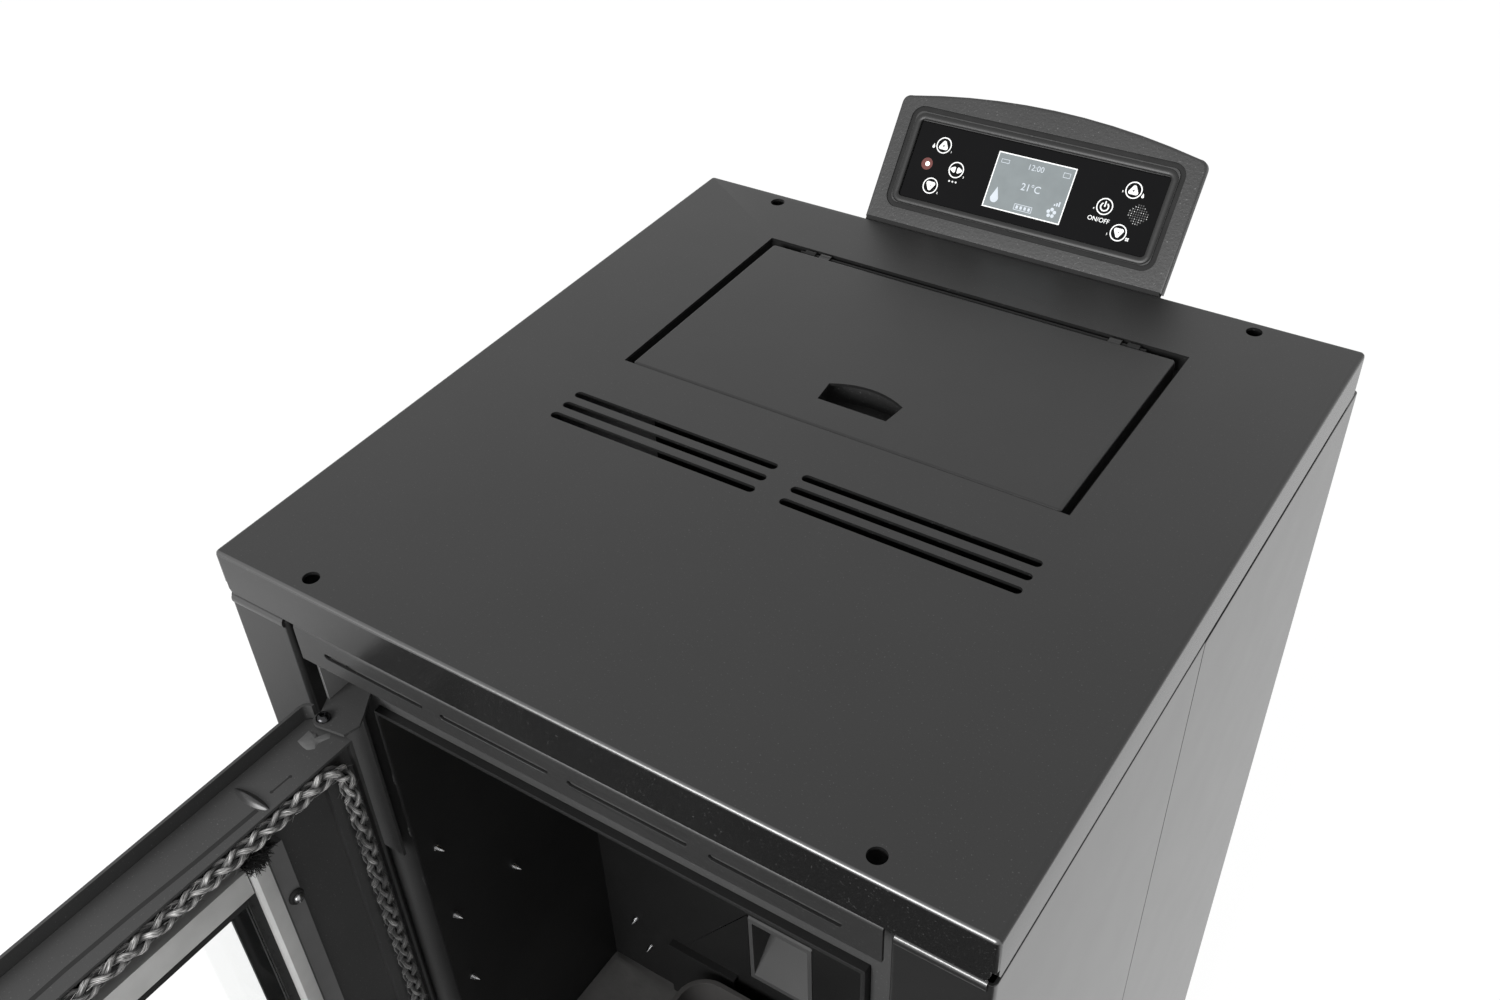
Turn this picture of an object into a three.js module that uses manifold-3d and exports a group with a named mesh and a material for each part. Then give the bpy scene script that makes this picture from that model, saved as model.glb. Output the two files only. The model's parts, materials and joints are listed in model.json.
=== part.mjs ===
// Pellet stove with its fire door open, in millimetres.
// +Z is up, +X is to the right of someone facing the stove, and -Y points at that person.
// The origin is the centre of the base plate's underside; the feet reach below it.
import * as THREE from 'three';
import { mergeVertices } from 'three/addons/utils/BufferGeometryUtils.js';
import Module from 'manifold-3d';

const wasm = await Module();
wasm.setup();

// ---------------------------------------------------------------- driving dimensions

const FIT = 0.3; // clearance between pieces that bear on each other
const CUT = 1; // how far a cutter runs past the face that it opens
const SHEET = 2; // casing sheet
const BEND_R = 3; // outer radius of a bend in casing sheet

// Casing
const CASE_W = 480;
const CASE_H = 880; // underside of the base plate to the top surface
const PLATE_D = 497; // top plate, front to back
const BACK_BEHIND = 9.5; // back panel behind the top plate's rear edge
const LIP_H = 30;
const LIP_PROUD = 0.5; // the lip in front of the column faces
const LIP_CHAMFER_W = 5;
const LIP_CHAMFER_H = 8;
const PLATE_EDGE_R = 2.6;
const FRONT_PANEL_D = 244;
const FRONT_PANEL_GAP = 3; // under the lip
const REAR_PANEL_GAP = 4.5;
const PANEL_SEAM = 1;
const LEFT_COLUMN_W = 47;
const RIGHT_COLUMN_W = 51;
const REAR_FLANGE = 22;
const FRONT_PLATE_SETBACK = 20; // column faces to the front plate
const BASE_FLANGE = 25;
const CORNER_RELIEF = 1; // base plate's rear corners, for the bends round them
const BACK_PANEL_H = 856;
const BACK_VENT_L = 60;
const BACK_VENT_H = 5;
const BACK_VENT_PITCH = 14;
const BACK_VENT_ROWS = 4;
const BACK_VENT_X = 120;
const BACK_VENT_Z = 560;

// Feet
const FOOT_H = 22;
const FOOT_D = 40;
const FOOT_NUT_D = 18;
const FOOT_NUT_H = 4;
const WELD_NUT_D = 17;
const WELD_NUT_H = 6;
const STUD_D = 8;
const STUD_H = 18;
const STUD_CLEARANCE = 0.5;
const FOOT_INSET = 45;
const FOOT_PAD = 4;

// Top plate's openings
const FIXING_HOLE_D = 10;
const FIXING_SPACING = 350;
const FIXING_FRONT = 12.7; // hole centres behind the plate's front edge
const FIXING_REAR = 11.3; // hole centres in front of the plate's rear edge
const VENT_L = 147;
const VENT_W = 6;
const VENT_PITCH = 12;
const VENT_ROWS = 3;
const VENT_GAP = 17; // between the two groups
const VENT_Y = -39; // middle row
const LID_OPENING_W = 302;
const LID_OPENING_D = 174.4;
const LID_OPENING_Y = 17.4; // its front edge

// Hopper lid
const LID_W = 291;
const LID_D = 167.4;
const LID_FRONT_GAP = 0.6;
const LID_FOLD = 12;
const LID_EDGE_R = 2;
const LID_AXIS_BEHIND = 3.2; // hinge axis behind the lid's rear face
const LID_AXIS_DROP = 3; // hinge axis below the top surface
const LID_LUG_W = 8;
const LID_LUG_SPAN = 210;
const LID_PIN_D = 3;
const KNUCKLE_STEP = 12; // knuckle centre beyond its lug's centre
const PIN_CLEARANCE = 0.35;
const FINGER_FRONT_W = 47;
const FINGER_BACK_W = 51;
const FINGER_SIDE = 17;
const FINGER_RISE = 7;
const FINGER_SETBACK = 24.6; // from the lid's front edge
const CUP_MARGIN = 7;
const CUP_DEPTH = 18;
const CUP_WALL = 1.2;

// Hopper
const HOPPER_WALL = 1.5;
const RECESS_MARGIN = 1;
const HOPPER_LEDGE_SIDE = 14;
const HOPPER_LEDGE_FRONT = 10;
const HOPPER_KNEE_Z = 660;
const HOPPER_BOTTOM_Z = 535.3;

// Firebox; its front edge is the collar that the door's rope seals on
const FIREBOX_LEFT_GAP = 34.2; // from the left column's return
const FIREBOX_RIGHT_GAP = 19.8; // from the right column's return
const FIREBOX_TOP_Z = 781;
const FIREBOX_BOTTOM_Z = 240;
const ROOM_BEHIND = 326; // firebox to the back panel's outer face
const FIREBOX_WALL = 3;
const COLLAR_SETBACK = 15; // column faces to the collar's edge
const LEDGE_Z = 335; // floor round the burn pot
const ASH_HOLE_MARGIN = 5; // hole under the pot, beyond its sides and inside its ends
const ASH_ROOM_SIDE = 11; // inside the firebox's sides
const ASH_ROOM_BACK_GAP = 14.3; // in front of the firebox's back
const ASH_ROOM_Z = 104;
const SMOKE_HOLE_W = 50;
const SMOKE_HOLE_H = 50;
const SMOKE_HOLE_Z = 345;
const AIR_HOLE_D = 44;

// Burn pot
const POT_X = 9.6;
const POT_W = 140;
const POT_FRONT_GAP = 48; // pot to the collar's edge
const POT_BACK_GAP = 14; // firebox back wall to the pot
const POT_RIM_Z = 405;
const POT_BOTTOM_Z = 295;
const POT_WALL = 4;
const POT_CORNER_R = 25;
const POT_FLANGE = 7;
const POT_FLANGE_T = 3;
const POT_HOLE_D = 8;
const POT_HOLE_PITCH = 26;
const POT_HOLE_COLUMNS = 4;
const POT_HOLE_ROWS = 2;
const IGNITER_HOLE_D = 14;

// Flame baffle
const BAFFLE_Z = 700;
const BAFFLE_T = 6;
const BAFFLE_D = 70;

// Igniter
const IGNITER_D = 10;
const IGNITER_Z = 318;
const IGNITER_BACK = 95; // behind the firebox's back wall
const IGNITER_FLANGE_D = 28;
const IGNITER_FLANGE_T = 3;

// Pellet chute and auger, in one vertical plane
const CHUTE_W = 54.6;
const CHUTE_WALL = 3.5;
const CHUTE_MOUTH_Z = 411;
const CHUTE_MOUTH_H = 76;
const CHUTE_RISE_D = 26; // how far the chute's roof slopes before it goes up
const CHUTE_BACK = 83; // inner face of the firebox's back wall to the chute's rear
const CHUTE_TOP_Z = 519.7;
const AUGER_TILT = 45;
const AUGER_FOOT_BEHIND = 228; // lower end of its axis behind the firebox
const AUGER_FOOT_Z = 416;
const AUGER_TUBE_L = 280;
const AUGER_TUBE_D = 60;
const AUGER_TUBE_WALL = 3;
const AUGER_DUCT = 53;
const AUGER_DUCT_WALL = 1.5;
const AUGER_INLET_BEHIND = 164; // front of the inlet duct behind the firebox
const AUGER_INLET_TOP_Z = 535;
const AUGER_OUTLET_BEHIND = 26; // front of the outlet duct behind the firebox
const AUGER_OUTLET_CLEARANCE = 2;
const AUGER_JOINT_AT = 150; // from the tube's lower end to where its two lengths meet
const SCREW_D = 48;
const SCREW_PITCH = 45;
const SCREW_SHAFT_D = 12;
const SCREW_START = 12;
const SCREW_TURNS = 5;
const SCREW_BLADE = 3;
const SCREW_PHASE = 7; // degrees, blade's start from the X axis
const SHAFT_CLEARANCE = 0.6;
const GEARBOX = 58;
const GEARBOX_L = 30;
const AUGER_MOTOR_D = 52;
const AUGER_MOTOR_L = 42;

// Exhaust side
const DUCT_W = 70;
const DUCT_RIGHT_X = -24.7;
const DUCT_D = 90;
const DUCT_BOTTOM_Z = 95;
const DUCT_TOP_Z = 410;
const DUCT_WALL = 2;
const EXHAUST_BEHIND = 63; // fan's axis behind the firebox
const EXHAUST_Z = 130;
const EXHAUST_R = 62;
const EXHAUST_W = 55;
const EXHAUST_OUTLET_H = 42;
const EXHAUST_OUTLET_BEHIND = 128;
const FAN_WALL = 2;
const FAN_INLET_D = 50;
const FAN_PORT = 44; // square port between the smoke duct and its fan
const FLUE_D = 80;
const FLUE_WALL = 2;
const PIPE_REACH = 45; // pipe ends behind the back panel
const FLUE_FLANGE = 92;
const FLUE_FLANGE_T = 2;
const INTAKE_D = 50;
const INTAKE_X = 45;
const INTAKE_Z = 268;

// Convection side
const BLOWER_X = 60;
const BLOWER_BEHIND = 68; // fan's axis behind the firebox
const BLOWER_W = 90;
const BLOWER_Z = 110;
const BLOWER_R = 58;
const BLOWER_OUTLET_D = 42;
const BLOWER_OUTLET_Z = 230;
const FAN_LEG_W = 20;
const FAN_LEG_T = 10;
const IMPELLER_GAP = 8; // impeller to the housing's wall
const FAN_SHAFT_D = 8;
const FAN_HUB_D = 20;
const FAN_MOTOR_D = 70;
const FAN_MOTOR_L = 52;
const FAN_MOTOR_BORE = 12;
const EXHAUST_BLADES = 8;
const BLOWER_BLADES = 12;

// Front rail
const RAIL_TOP_GAP = 1; // under the lip
const RAIL_H = 27;
const RAIL_LEFT_GAP = 5;
const RAIL_RIGHT_GAP = 3.5;
const RAIL_SLOT_L = 73.5;
const RAIL_SLOT_W = 4;
const RAIL_SLOT_PITCH = 86;
const RAIL_SLOTS = 4;
const AIR_WINDOW_W = 300;
const AIR_WINDOW_H = 36;

// Fire door, drawn closed; +X runs from the pivot along the door
const PIVOT_FROM_RETURN = 23; // from the left column's return
const PIVOT_PROUD = 11; // in front of the column faces
const DOOR_OPEN_DEG = 91.5;
const FRAME_START = 0.8; // frame's hinge edge from the pivot
const DOOR_END_GAP = 2.2; // frame's free edge to the right column's return
const DOOR_OVERLAP = 7; // frame beyond the collar, above and below
const DOOR_FACE = 14; // outer face in front of the pivot
const FRAME_DEPTH = 22.5; // frame's rim behind the pivot
const FRAME_SHEET = 2;
const FRAME_PLATE_Y = 12;
const SKIN_PROUD_Z = 10; // skin beyond the frame, above and below
const SKIN_BEND_R = 6;
const SKIN_RETURN = 6.5; // depth of the skin's folded edges
const HINGE_EAR_R = 6;
const ROPE_D = 10;
const ROPE_Y = 23.6;
const ROPE_CORNER_R = 12;
const ROPE_CHANNEL_W = 20;
const ROPE_SEAT_T = 6;
const WINDOW_X = 92;
const WINDOW_END_GAP = 98.8; // window to the frame's free edge
const WINDOW_TOP_GAP = 45; // frame's top to the window
const WINDOW_H = 383;
const GLASS_T = 4;
const GLASS_SIDE_LAP = 22;
const GLASS_END_LAP = 12;
const RETAINER_OUT = 31; // side retainers' outer edges from the window
const RETAINER_W = 22;
const RETAINER_TOP_W = 19;
const RETAINER_T = 1.5;
const RETAINER_LIP = 4;
const SEAL_T = 1.4;

// Door hinges and latch
const LEAF_T = 2;
const LEAF_GAP = 2; // frame to leaf
const LEAF_NOSE_X = 19; // its nose from the pivot
const LEAF_NOSE_Y = -3;
const LEAF_TIP_X = 21.4;
const LEAF_TIP_Y = 7.3;
const LEAF_SHOULDER_X = 17.5;
const LEAF_SHOULDER_Y = 15;
const LEAF_NECK_X = 9;
const LEAF_NECK_Y = 29;
const WEB_FROM_PIVOT = 10;
const WEB_H = 30;
const STRAP_H = 150;
const STRAP_SETBACK = 12.3; // behind the column faces
const STRAP_FROM_PIVOT = 2;
const PIVOT_SHANK_D = 5.6;
const PIVOT_HOLE_D = 6.4;
const PIVOT_HEAD_D = 9;
const PIVOT_HEAD_H = 3.2;
const PIVOT_DEPTH = 14; // shank past the leaf
const HANDLE_INSET = 7.8; // shaft from the frame's free edge
const HANDLE_Z = 510;
const HANDLE_SHAFT_D = 8;
const HANDLE_SHAFT_CLEARANCE = 0.5;
const HANDLE_STANDOFF = 26;
const HANDLE_L = 120;
const HANDLE_D = 14;
const LATCH_R = 9; // latch arm's tip from the shaft's axis
const LATCH_T = 3;
const LATCH_Y = 26;
const KEEPER_GAP = 1.2;
const KEEPER_W = 12;
const KEEPER_H = 34;
const KEEPER_T = 2;

// Ash drawer
const DRAWER_TOP_GAP = 4; // below the door's skin
const DRAWER_FRONT_H = 119;
const DRAWER_SIDE_GAP = 3;
const TRAY_CLEARANCE = 2;
const TRAY_WALL = 1.5;
const TRAY_H = 95;
const DRAWER_PULL_W = 80;
const DRAWER_PULL_H = 10;
const DRAWER_PULL_D = 14;
const LOWER_PANEL_GAP = 3;

// Control panel, leaning back
const PANEL_LEAN = 37.7;
const PANEL_BEHIND = 2.1; // foot of its face behind the top plate
const BEZEL_W = 219.5;
const BEZEL_SIDE_H = 88;
const BEZEL_H = 98.2;
const BEZEL_T = 8;
const BEZEL_EDGE = 1.5;
const BEZEL_CORNER_R = 5;
const RING_W = 198;
const RING_LOW = 11;
const RING_HIGH = 82.6;
const RING_R = 9;
const GROOVE_W = 3.5;
const GROOVE_DEPTH = 2;
const GLASS_W = 180.3;
const GLASS_H = 52.8;
const GLASS_MID = 46.1;
const GLASS_SETBACK = 1.2;
const PANEL_GLASS_T = 3;
const BOARD_MARGIN = 3;
const BOARD_T = 1.6;
const DISPLAY_W = 64;
const DISPLAY_H = 46;
const DISPLAY_T = 5;
const COVER_MARGIN_X = 6;
const COVER_LOW = 4;
const COVER_HIGH = 84;
const COVER_D = 16;
const COVER_WALL = 2;
const BRACKET_W = 120;
const BRACKET_FOOT_BELOW = 80; // below the casing's top
const BRACKET_KNEE_BELOW = 17;
const BRACKET_RUN = 55;

// Electrical parts
const INLET_IN = 55; // its middle, in from the casing's right side
const INLET_Z = 40;
const INLET_W = 40;
const INLET_H = 60;
const INLET_FLANGE = 3;
const INLET_BODY = 22;
const INLET_LIP = 4;
const SOCKET_W = 24;
const SOCKET_H = 17;
const SOCKET_DEPTH = 15;
const SWITCH_W = 13;
const SWITCH_H = 21;
const ROCKER_CLEARANCE = 0.5;
const ROCKER_TILT = 8;
const MAIN_BOARD_W = 130;
const MAIN_BOARD_H = 170;
const MAIN_BOARD_FROM_BACK = 198;
const MAIN_BOARD_Z = 350;
const MAIN_BOARD_POST = 8;
const MAIN_BOARD_INSET = 8; // posts from the board's edges
const POST_W = 6;
const TRANSFORMER_W = 40;
const TRANSFORMER_H = 45;
const TRANSFORMER_T = 26;
const TRANSFORMER_INSET = 20; // from the board's rear and lower edges
const RELAYS = 3;
const RELAY_W = 28;
const RELAY_H = 16;
const RELAY_T = 14;
const RELAY_PITCH = 22;
const RELAY_UP = 90; // lowest relay above the board's lower edge

// ---------------------------------------------------------------- places worked out from them

const FRONT_Y = -PLATE_D / 2 + LIP_PROUD;
const BACK_Y = PLATE_D / 2 + BACK_BEHIND;
const HALF_W = CASE_W / 2;
const INLET_X = HALF_W - INLET_IN;
const PLATE_UNDER_Z = CASE_H - SHEET - FIT;
const FRONT_PANEL_H = CASE_H - LIP_H - FRONT_PANEL_GAP;
const REAR_PANEL_H = CASE_H - LIP_H - REAR_PANEL_GAP;
const FRONT_PLATE_Y = FRONT_Y + FRONT_PLATE_SETBACK;
const BASE_TOP_Z = SHEET + FIT;
const LEFT_RETURN_X = -HALF_W + LEFT_COLUMN_W;
const RIGHT_RETURN_X = HALF_W - RIGHT_COLUMN_W;
const FIREBOX_LEFT = LEFT_RETURN_X + FIREBOX_LEFT_GAP;
const FIREBOX_RIGHT = RIGHT_RETURN_X - FIREBOX_RIGHT_GAP;
const FIREBOX_X = (FIREBOX_LEFT + FIREBOX_RIGHT) / 2;
const COLLAR_Y = FRONT_Y + COLLAR_SETBACK;
const FIREBOX_BACK = BACK_Y - ROOM_BEHIND;
const FIREBOX_D = FIREBOX_BACK - COLLAR_Y;
const FIREBOX_INNER_BACK = FIREBOX_BACK - FIREBOX_WALL;
const POT_D = FIREBOX_INNER_BACK - POT_BACK_GAP - COLLAR_Y - POT_FRONT_GAP;
const POT_R = Math.min(POT_CORNER_R, POT_D / 2 - POT_WALL);
const ASH_LEFT = FIREBOX_LEFT + ASH_ROOM_SIDE;
const ASH_RIGHT = FIREBOX_RIGHT - ASH_ROOM_SIDE;
const ASH_FRONT = FRONT_PLATE_Y + SHEET + FIT;
const ASH_BACK = FIREBOX_BACK - ASH_ROOM_BACK_GAP;
const LID_FRONT_Y = LID_OPENING_Y + LID_FRONT_GAP;
const LID_REAR_Y = LID_FRONT_Y + LID_D;
const LID_AXIS_Y = LID_REAR_Y + LID_AXIS_BEHIND;
const LID_AXIS_Z = CASE_H - LID_AXIS_DROP;
const LEDGE_TOP_Z = CASE_H - LID_FOLD - FIT;
const FRAME_TOP_Z = FIREBOX_TOP_Z + DOOR_OVERLAP;
const FRAME_BOTTOM_Z = FIREBOX_BOTTOM_Z - DOOR_OVERLAP;
const DRAWER_TOP_Z = FRAME_BOTTOM_Z - SKIN_PROUD_Z - DRAWER_TOP_GAP;
const DRAWER_BOTTOM_Z = DRAWER_TOP_Z - DRAWER_FRONT_H;
const AUGER_FOOT_Y = FIREBOX_BACK + AUGER_FOOT_BEHIND;
const AUGER_INLET_Y = FIREBOX_BACK + AUGER_INLET_BEHIND;
const AUGER_OUTLET_Y = FIREBOX_BACK + AUGER_OUTLET_BEHIND;
const EXHAUST_Y = FIREBOX_BACK + EXHAUST_BEHIND;
const EXHAUST_OUTLET_Y = FIREBOX_BACK + EXHAUST_OUTLET_BEHIND;
const BLOWER_Y = FIREBOX_BACK + BLOWER_BEHIND;
const PIVOT_X = LEFT_RETURN_X + PIVOT_FROM_RETURN;
const PIVOT_Y = FRONT_Y - PIVOT_PROUD;
const DOOR_W = RIGHT_RETURN_X - DOOR_END_GAP - PIVOT_X - FRAME_START;
const WINDOW_W = DOOR_W + FRAME_START - WINDOW_END_GAP - WINDOW_X;
const HANDLE_X = DOOR_W + FRAME_START - HANDLE_INSET;
const WEB_X = PIVOT_X - WEB_FROM_PIVOT;
const STRAP_RIGHT_X = PIVOT_X + STRAP_FROM_PIVOT;
const STRAP_Y = FRONT_Y + STRAP_SETBACK;
const PANEL_Y = PLATE_D / 2 + PANEL_BEHIND;
const MAIN_BOARD_Y = BACK_Y - MAIN_BOARD_FROM_BACK;

// ---------------------------------------------------------------- solids

function solid(geometry) {
  const bare = geometry.clone();
  bare.deleteAttribute('normal');
  bare.deleteAttribute('uv');
  const merged = mergeVertices(bare, 1e-4);
  const vertProperties = new Float32Array(merged.attributes.position.array);
  const triVerts = new Uint32Array(merged.index.array);
  return new wasm.Manifold(new wasm.Mesh({ numProp: 3, vertProperties, triVerts }));
}

function box(x0, x1, y0, y1, z0, z1) {
  const geometry = new THREE.BoxGeometry(x1 - x0, y1 - y0, z1 - z0);
  return solid(geometry.translate((x0 + x1) / 2, (y0 + y1) / 2, (z0 + z1) / 2));
}

function join(...solids) {
  return solids.reduce((whole, next) => whole.add(next));
}

function carve(whole, ...cutters) {
  return cutters.reduce((left, cutter) => left.subtract(cutter), whole);
}

function outline(points) {
  return new THREE.Shape(points.map(([a, b]) => new THREE.Vector2(a, b)));
}

function roundRect(a0, a1, b0, b1, r) {
  const radius = Math.min(r, (a1 - a0) / 2 - 0.01, (b1 - b0) / 2 - 0.01);
  const shape = new THREE.Shape();
  shape.moveTo(a0 + radius, b0);
  shape.lineTo(a1 - radius, b0);
  shape.absarc(a1 - radius, b0 + radius, radius, -Math.PI / 2, 0, false);
  shape.lineTo(a1, b1 - radius);
  shape.absarc(a1 - radius, b1 - radius, radius, 0, Math.PI / 2, false);
  shape.lineTo(a0 + radius, b1);
  shape.absarc(a0 + radius, b1 - radius, radius, Math.PI / 2, Math.PI, false);
  shape.lineTo(a0, b0 + radius);
  shape.absarc(a0 + radius, b0 + radius, radius, Math.PI, 1.5 * Math.PI, false);
  return shape;
}

function circle(a, b, r) {
  const shape = new THREE.Shape();
  shape.absarc(a, b, r, 0, 2 * Math.PI, false);
  return shape;
}

function extrude(shape, length, curveSegments) {
  return new THREE.ExtrudeGeometry(shape, { depth: length, bevelEnabled: false, curveSegments });
}

// A shape drawn in x and y, from z0 up to z1
function alongZ(shape, z0, z1, curveSegments = 4) {
  return solid(extrude(shape, z1 - z0, curveSegments).translate(0, 0, z0));
}

// A shape drawn in y and z, from x0 to x1
function alongX(shape, x0, x1, curveSegments = 4) {
  const turn = new THREE.Matrix4().makeBasis(
    new THREE.Vector3(0, 1, 0),
    new THREE.Vector3(0, 0, 1),
    new THREE.Vector3(1, 0, 0),
  );
  return solid(extrude(shape, x1 - x0, curveSegments).applyMatrix4(turn).translate(x0, 0, 0));
}

// A shape drawn in x and z, from y0 to y1
function alongY(shape, y0, y1, curveSegments = 4) {
  const upright = extrude(shape, y1 - y0, curveSegments).rotateX(Math.PI / 2);
  return solid(upright.translate(0, y1, 0));
}

// A turned solid: profile points are [radius, height] along +Z
function turned(profile, segments) {
  const points = profile.map(([r, h]) => new THREE.Vector2(r, h));
  return solid(new THREE.LatheGeometry(points, segments).rotateX(Math.PI / 2));
}

// Stacked outlines with the same number of points, closed at both ends
function stack(rings) {
  const count = rings[0].length;
  const positions = rings.flat(2);
  const index = [];
  for (let level = 0; level + 1 < rings.length; level += 1) {
    for (let k = 0; k < count; k += 1) {
      const a = level * count + k;
      const b = level * count + ((k + 1) % count);
      index.push(a, b, b + count, a, b + count, a + count);
    }
  }
  const top = (rings.length - 1) * count;
  for (let k = 1; k + 1 < count; k += 1) {
    index.push(0, k + 1, k);
    index.push(top, top + k, top + k + 1);
  }
  const geometry = new THREE.BufferGeometry();
  geometry.setAttribute('position', new THREE.Float32BufferAttribute(positions, 3));
  geometry.setIndex(index);
  return solid(geometry);
}

function rectRing(x0, x1, y0, y1, z) {
  return [[x0, y0, z], [x1, y0, z], [x1, y1, z], [x0, y1, z]];
}

// A slab with round upper edges, its top at z = 0 and its middle on the Z axis
function crownedSlab(width, depth, height, edgeRadius) {
  const steps = 3;
  const corner = edgeRadius + 0.5;
  const levels = [{ inset: 0, z: -height }];
  for (let k = 0; k <= steps; k += 1) {
    const angle = (k / steps) * (Math.PI / 2);
    levels.push({
      inset: edgeRadius * (1 - Math.cos(angle)),
      z: -edgeRadius * (1 - Math.sin(angle)),
    });
  }
  const rings = levels.map(({ inset, z }) => {
    const shape = roundRect(
      -width / 2 + inset,
      width / 2 - inset,
      -depth / 2 + inset,
      depth / 2 - inset,
      corner - inset,
    );
    return cornerPoints(shape, steps).map(([x, y]) => [x, y, z]);
  });
  return stack(rings);
}

function cornerPoints(shape, divisions) {
  const points = [];
  for (const curve of shape.curves) {
    if (curve.type !== 'EllipseCurve') continue;
    for (const p of curve.getPoints(divisions)) points.push([p.x, p.y]);
  }
  return points;
}

// The outline of a bent sheet. The path is one face, the body lies to its right, and each
// bend gets an arc of the given radius on the path.
function bentSheet(path, thickness, radius) {
  const steps = 3;
  const samples = [];
  const direction = (a, b) => new THREE.Vector2(b[0] - a[0], b[1] - a[1]).normalize();
  const rightOf = (d) => new THREE.Vector2(d.y, -d.x);
  samples.push({ p: new THREE.Vector2(...path[0]), n: rightOf(direction(path[0], path[1])) });
  for (let k = 1; k + 1 < path.length; k += 1) {
    const before = direction(path[k - 1], path[k]);
    const after = direction(path[k], path[k + 1]);
    const turn = Math.atan2(before.cross(after), before.dot(after));
    const back = radius * Math.tan(Math.abs(turn) / 2);
    const start = new THREE.Vector2(...path[k]).addScaledVector(before, -back);
    const toCentre = rightOf(before).multiplyScalar(-Math.sign(turn));
    const centre = start.clone().addScaledVector(toCentre, radius);
    for (let s = 0; s <= steps; s += 1) {
      const angle = (turn * s) / steps;
      const p = start.clone().rotateAround(centre, angle);
      const n = rightOf(before.clone().rotateAround(new THREE.Vector2(), angle));
      samples.push({ p, n });
    }
  }
  const last = path.length - 1;
  const end = rightOf(direction(path[last - 1], path[last]));
  samples.push({ p: new THREE.Vector2(...path[last]), n: end });
  const face = samples.map(({ p }) => [p.x, p.y]);
  const other = samples.map(({ p, n }) => [p.x + n.x * thickness, p.y + n.y * thickness]);
  return outline([...face, ...other.reverse()]);
}

// The wall of a box that is open on one side: the outer box less the same box drawn in
function hollowBox(outer, wall, open) {
  const [x0, x1, y0, y1, z0, z1] = outer;
  const inner = box(
    open === '-x' ? x0 - CUT : x0 + wall,
    open === '+x' ? x1 + CUT : x1 - wall,
    open === '-y' ? y0 - CUT : y0 + wall,
    open === '+y' ? y1 + CUT : y1 - wall,
    open === '-z' ? z0 - CUT : z0 + wall,
    open === '+z' ? z1 + CUT : z1 - wall,
  );
  return carve(box(...outer), inner);
}

// ---------------------------------------------------------------- finishes and meshes

const FINISHES = {
  black_paint: { color: 0x232425, roughness: 0.5, metalness: 0.2 },
  stove_paint: { color: 0x1b1b1c, roughness: 0.75, metalness: 0.1 },
  cast_iron: { color: 0x3a3836, roughness: 0.8, metalness: 0.4 },
  zinc_sheet: { color: 0xa9acae, roughness: 0.4, metalness: 0.9 },
  motor_steel: { color: 0x8b8d90, roughness: 0.35, metalness: 0.9 },
  steel_screw: { color: 0x6f7072, roughness: 0.3, metalness: 0.9 },
  black_plastic: { color: 0x2a2b2c, roughness: 0.6, metalness: 0.0 },
  black_glass: { color: 0x050506, roughness: 0.08, metalness: 0.0 },
  clear_glass: { color: 0xe4e8e6, roughness: 0.05, metalness: 0.0 },
  rope: { color: 0xb5b0a6, roughness: 0.95, metalness: 0.0 },
  vermiculite: { color: 0xb59f7d, roughness: 0.95, metalness: 0.0 },
  green_board: { color: 0x1e5a36, roughness: 0.6, metalness: 0.0 },
};

function add(group, name, finish, whole) {
  const { vertProperties, triVerts } = whole.getMesh();
  const geometry = new THREE.BufferGeometry();
  geometry.setAttribute('position', new THREE.BufferAttribute(vertProperties, 3));
  geometry.setIndex(new THREE.BufferAttribute(triVerts, 1));
  geometry.computeVertexNormals();
  const mesh = new THREE.Mesh(geometry, new THREE.MeshStandardMaterial(FINISHES[finish]));
  mesh.name = name;
  group.add(mesh);
}

// ---------------------------------------------------------------- casing

const FOOT_X = HALF_W - FOOT_INSET;
const FOOT_FRONT_Y = FRONT_Y + FOOT_INSET;
const FOOT_REAR_Y = BACK_Y - FOOT_INSET;

function basePlate() {
  const x = HALF_W - SHEET - FIT;
  const rear = BACK_Y - SHEET - FIT;
  const flangeFront = FRONT_PLATE_Y + SHEET + FIT;
  const front = FRONT_Y + SHEET + FIT;
  const holes = [];
  const nuts = [];
  for (const footX of [-FOOT_X, FOOT_X]) {
    for (const footY of [FOOT_FRONT_Y, FOOT_REAR_Y]) {
      const hole = circle(footX, footY, STUD_D / 2 + STUD_CLEARANCE);
      holes.push(alongZ(hole, -CUT, SHEET + WELD_NUT_H + CUT, 8));
      const nut = circle(footX, footY, WELD_NUT_D / 2);
      nuts.push(alongZ(nut, SHEET / 2, SHEET + WELD_NUT_H, 6));
    }
  }
  const whole = join(
    box(-x, x, FRONT_PLATE_Y, rear, 0, SHEET),
    box(LEFT_RETURN_X + FIT, RIGHT_RETURN_X - FIT, front, FRONT_PLATE_Y + CUT, 0, SHEET),
    box(-x, -x + SHEET, flangeFront, rear, 0, BASE_FLANGE),
    box(x - SHEET, x, flangeFront, rear, 0, BASE_FLANGE),
    box(-x, x, rear - SHEET, rear, 0, BASE_FLANGE),
    ...nuts,
  );
  const relief = x - CORNER_RELIEF;
  for (const [x0, x1] of [[-x - CUT, -relief], [relief, x + CUT]]) {
    holes.push(box(x0, x1, rear - CORNER_RELIEF, rear + CUT, -CUT, BASE_FLANGE + CUT));
  }
  return carve(whole, ...holes);
}

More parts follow.
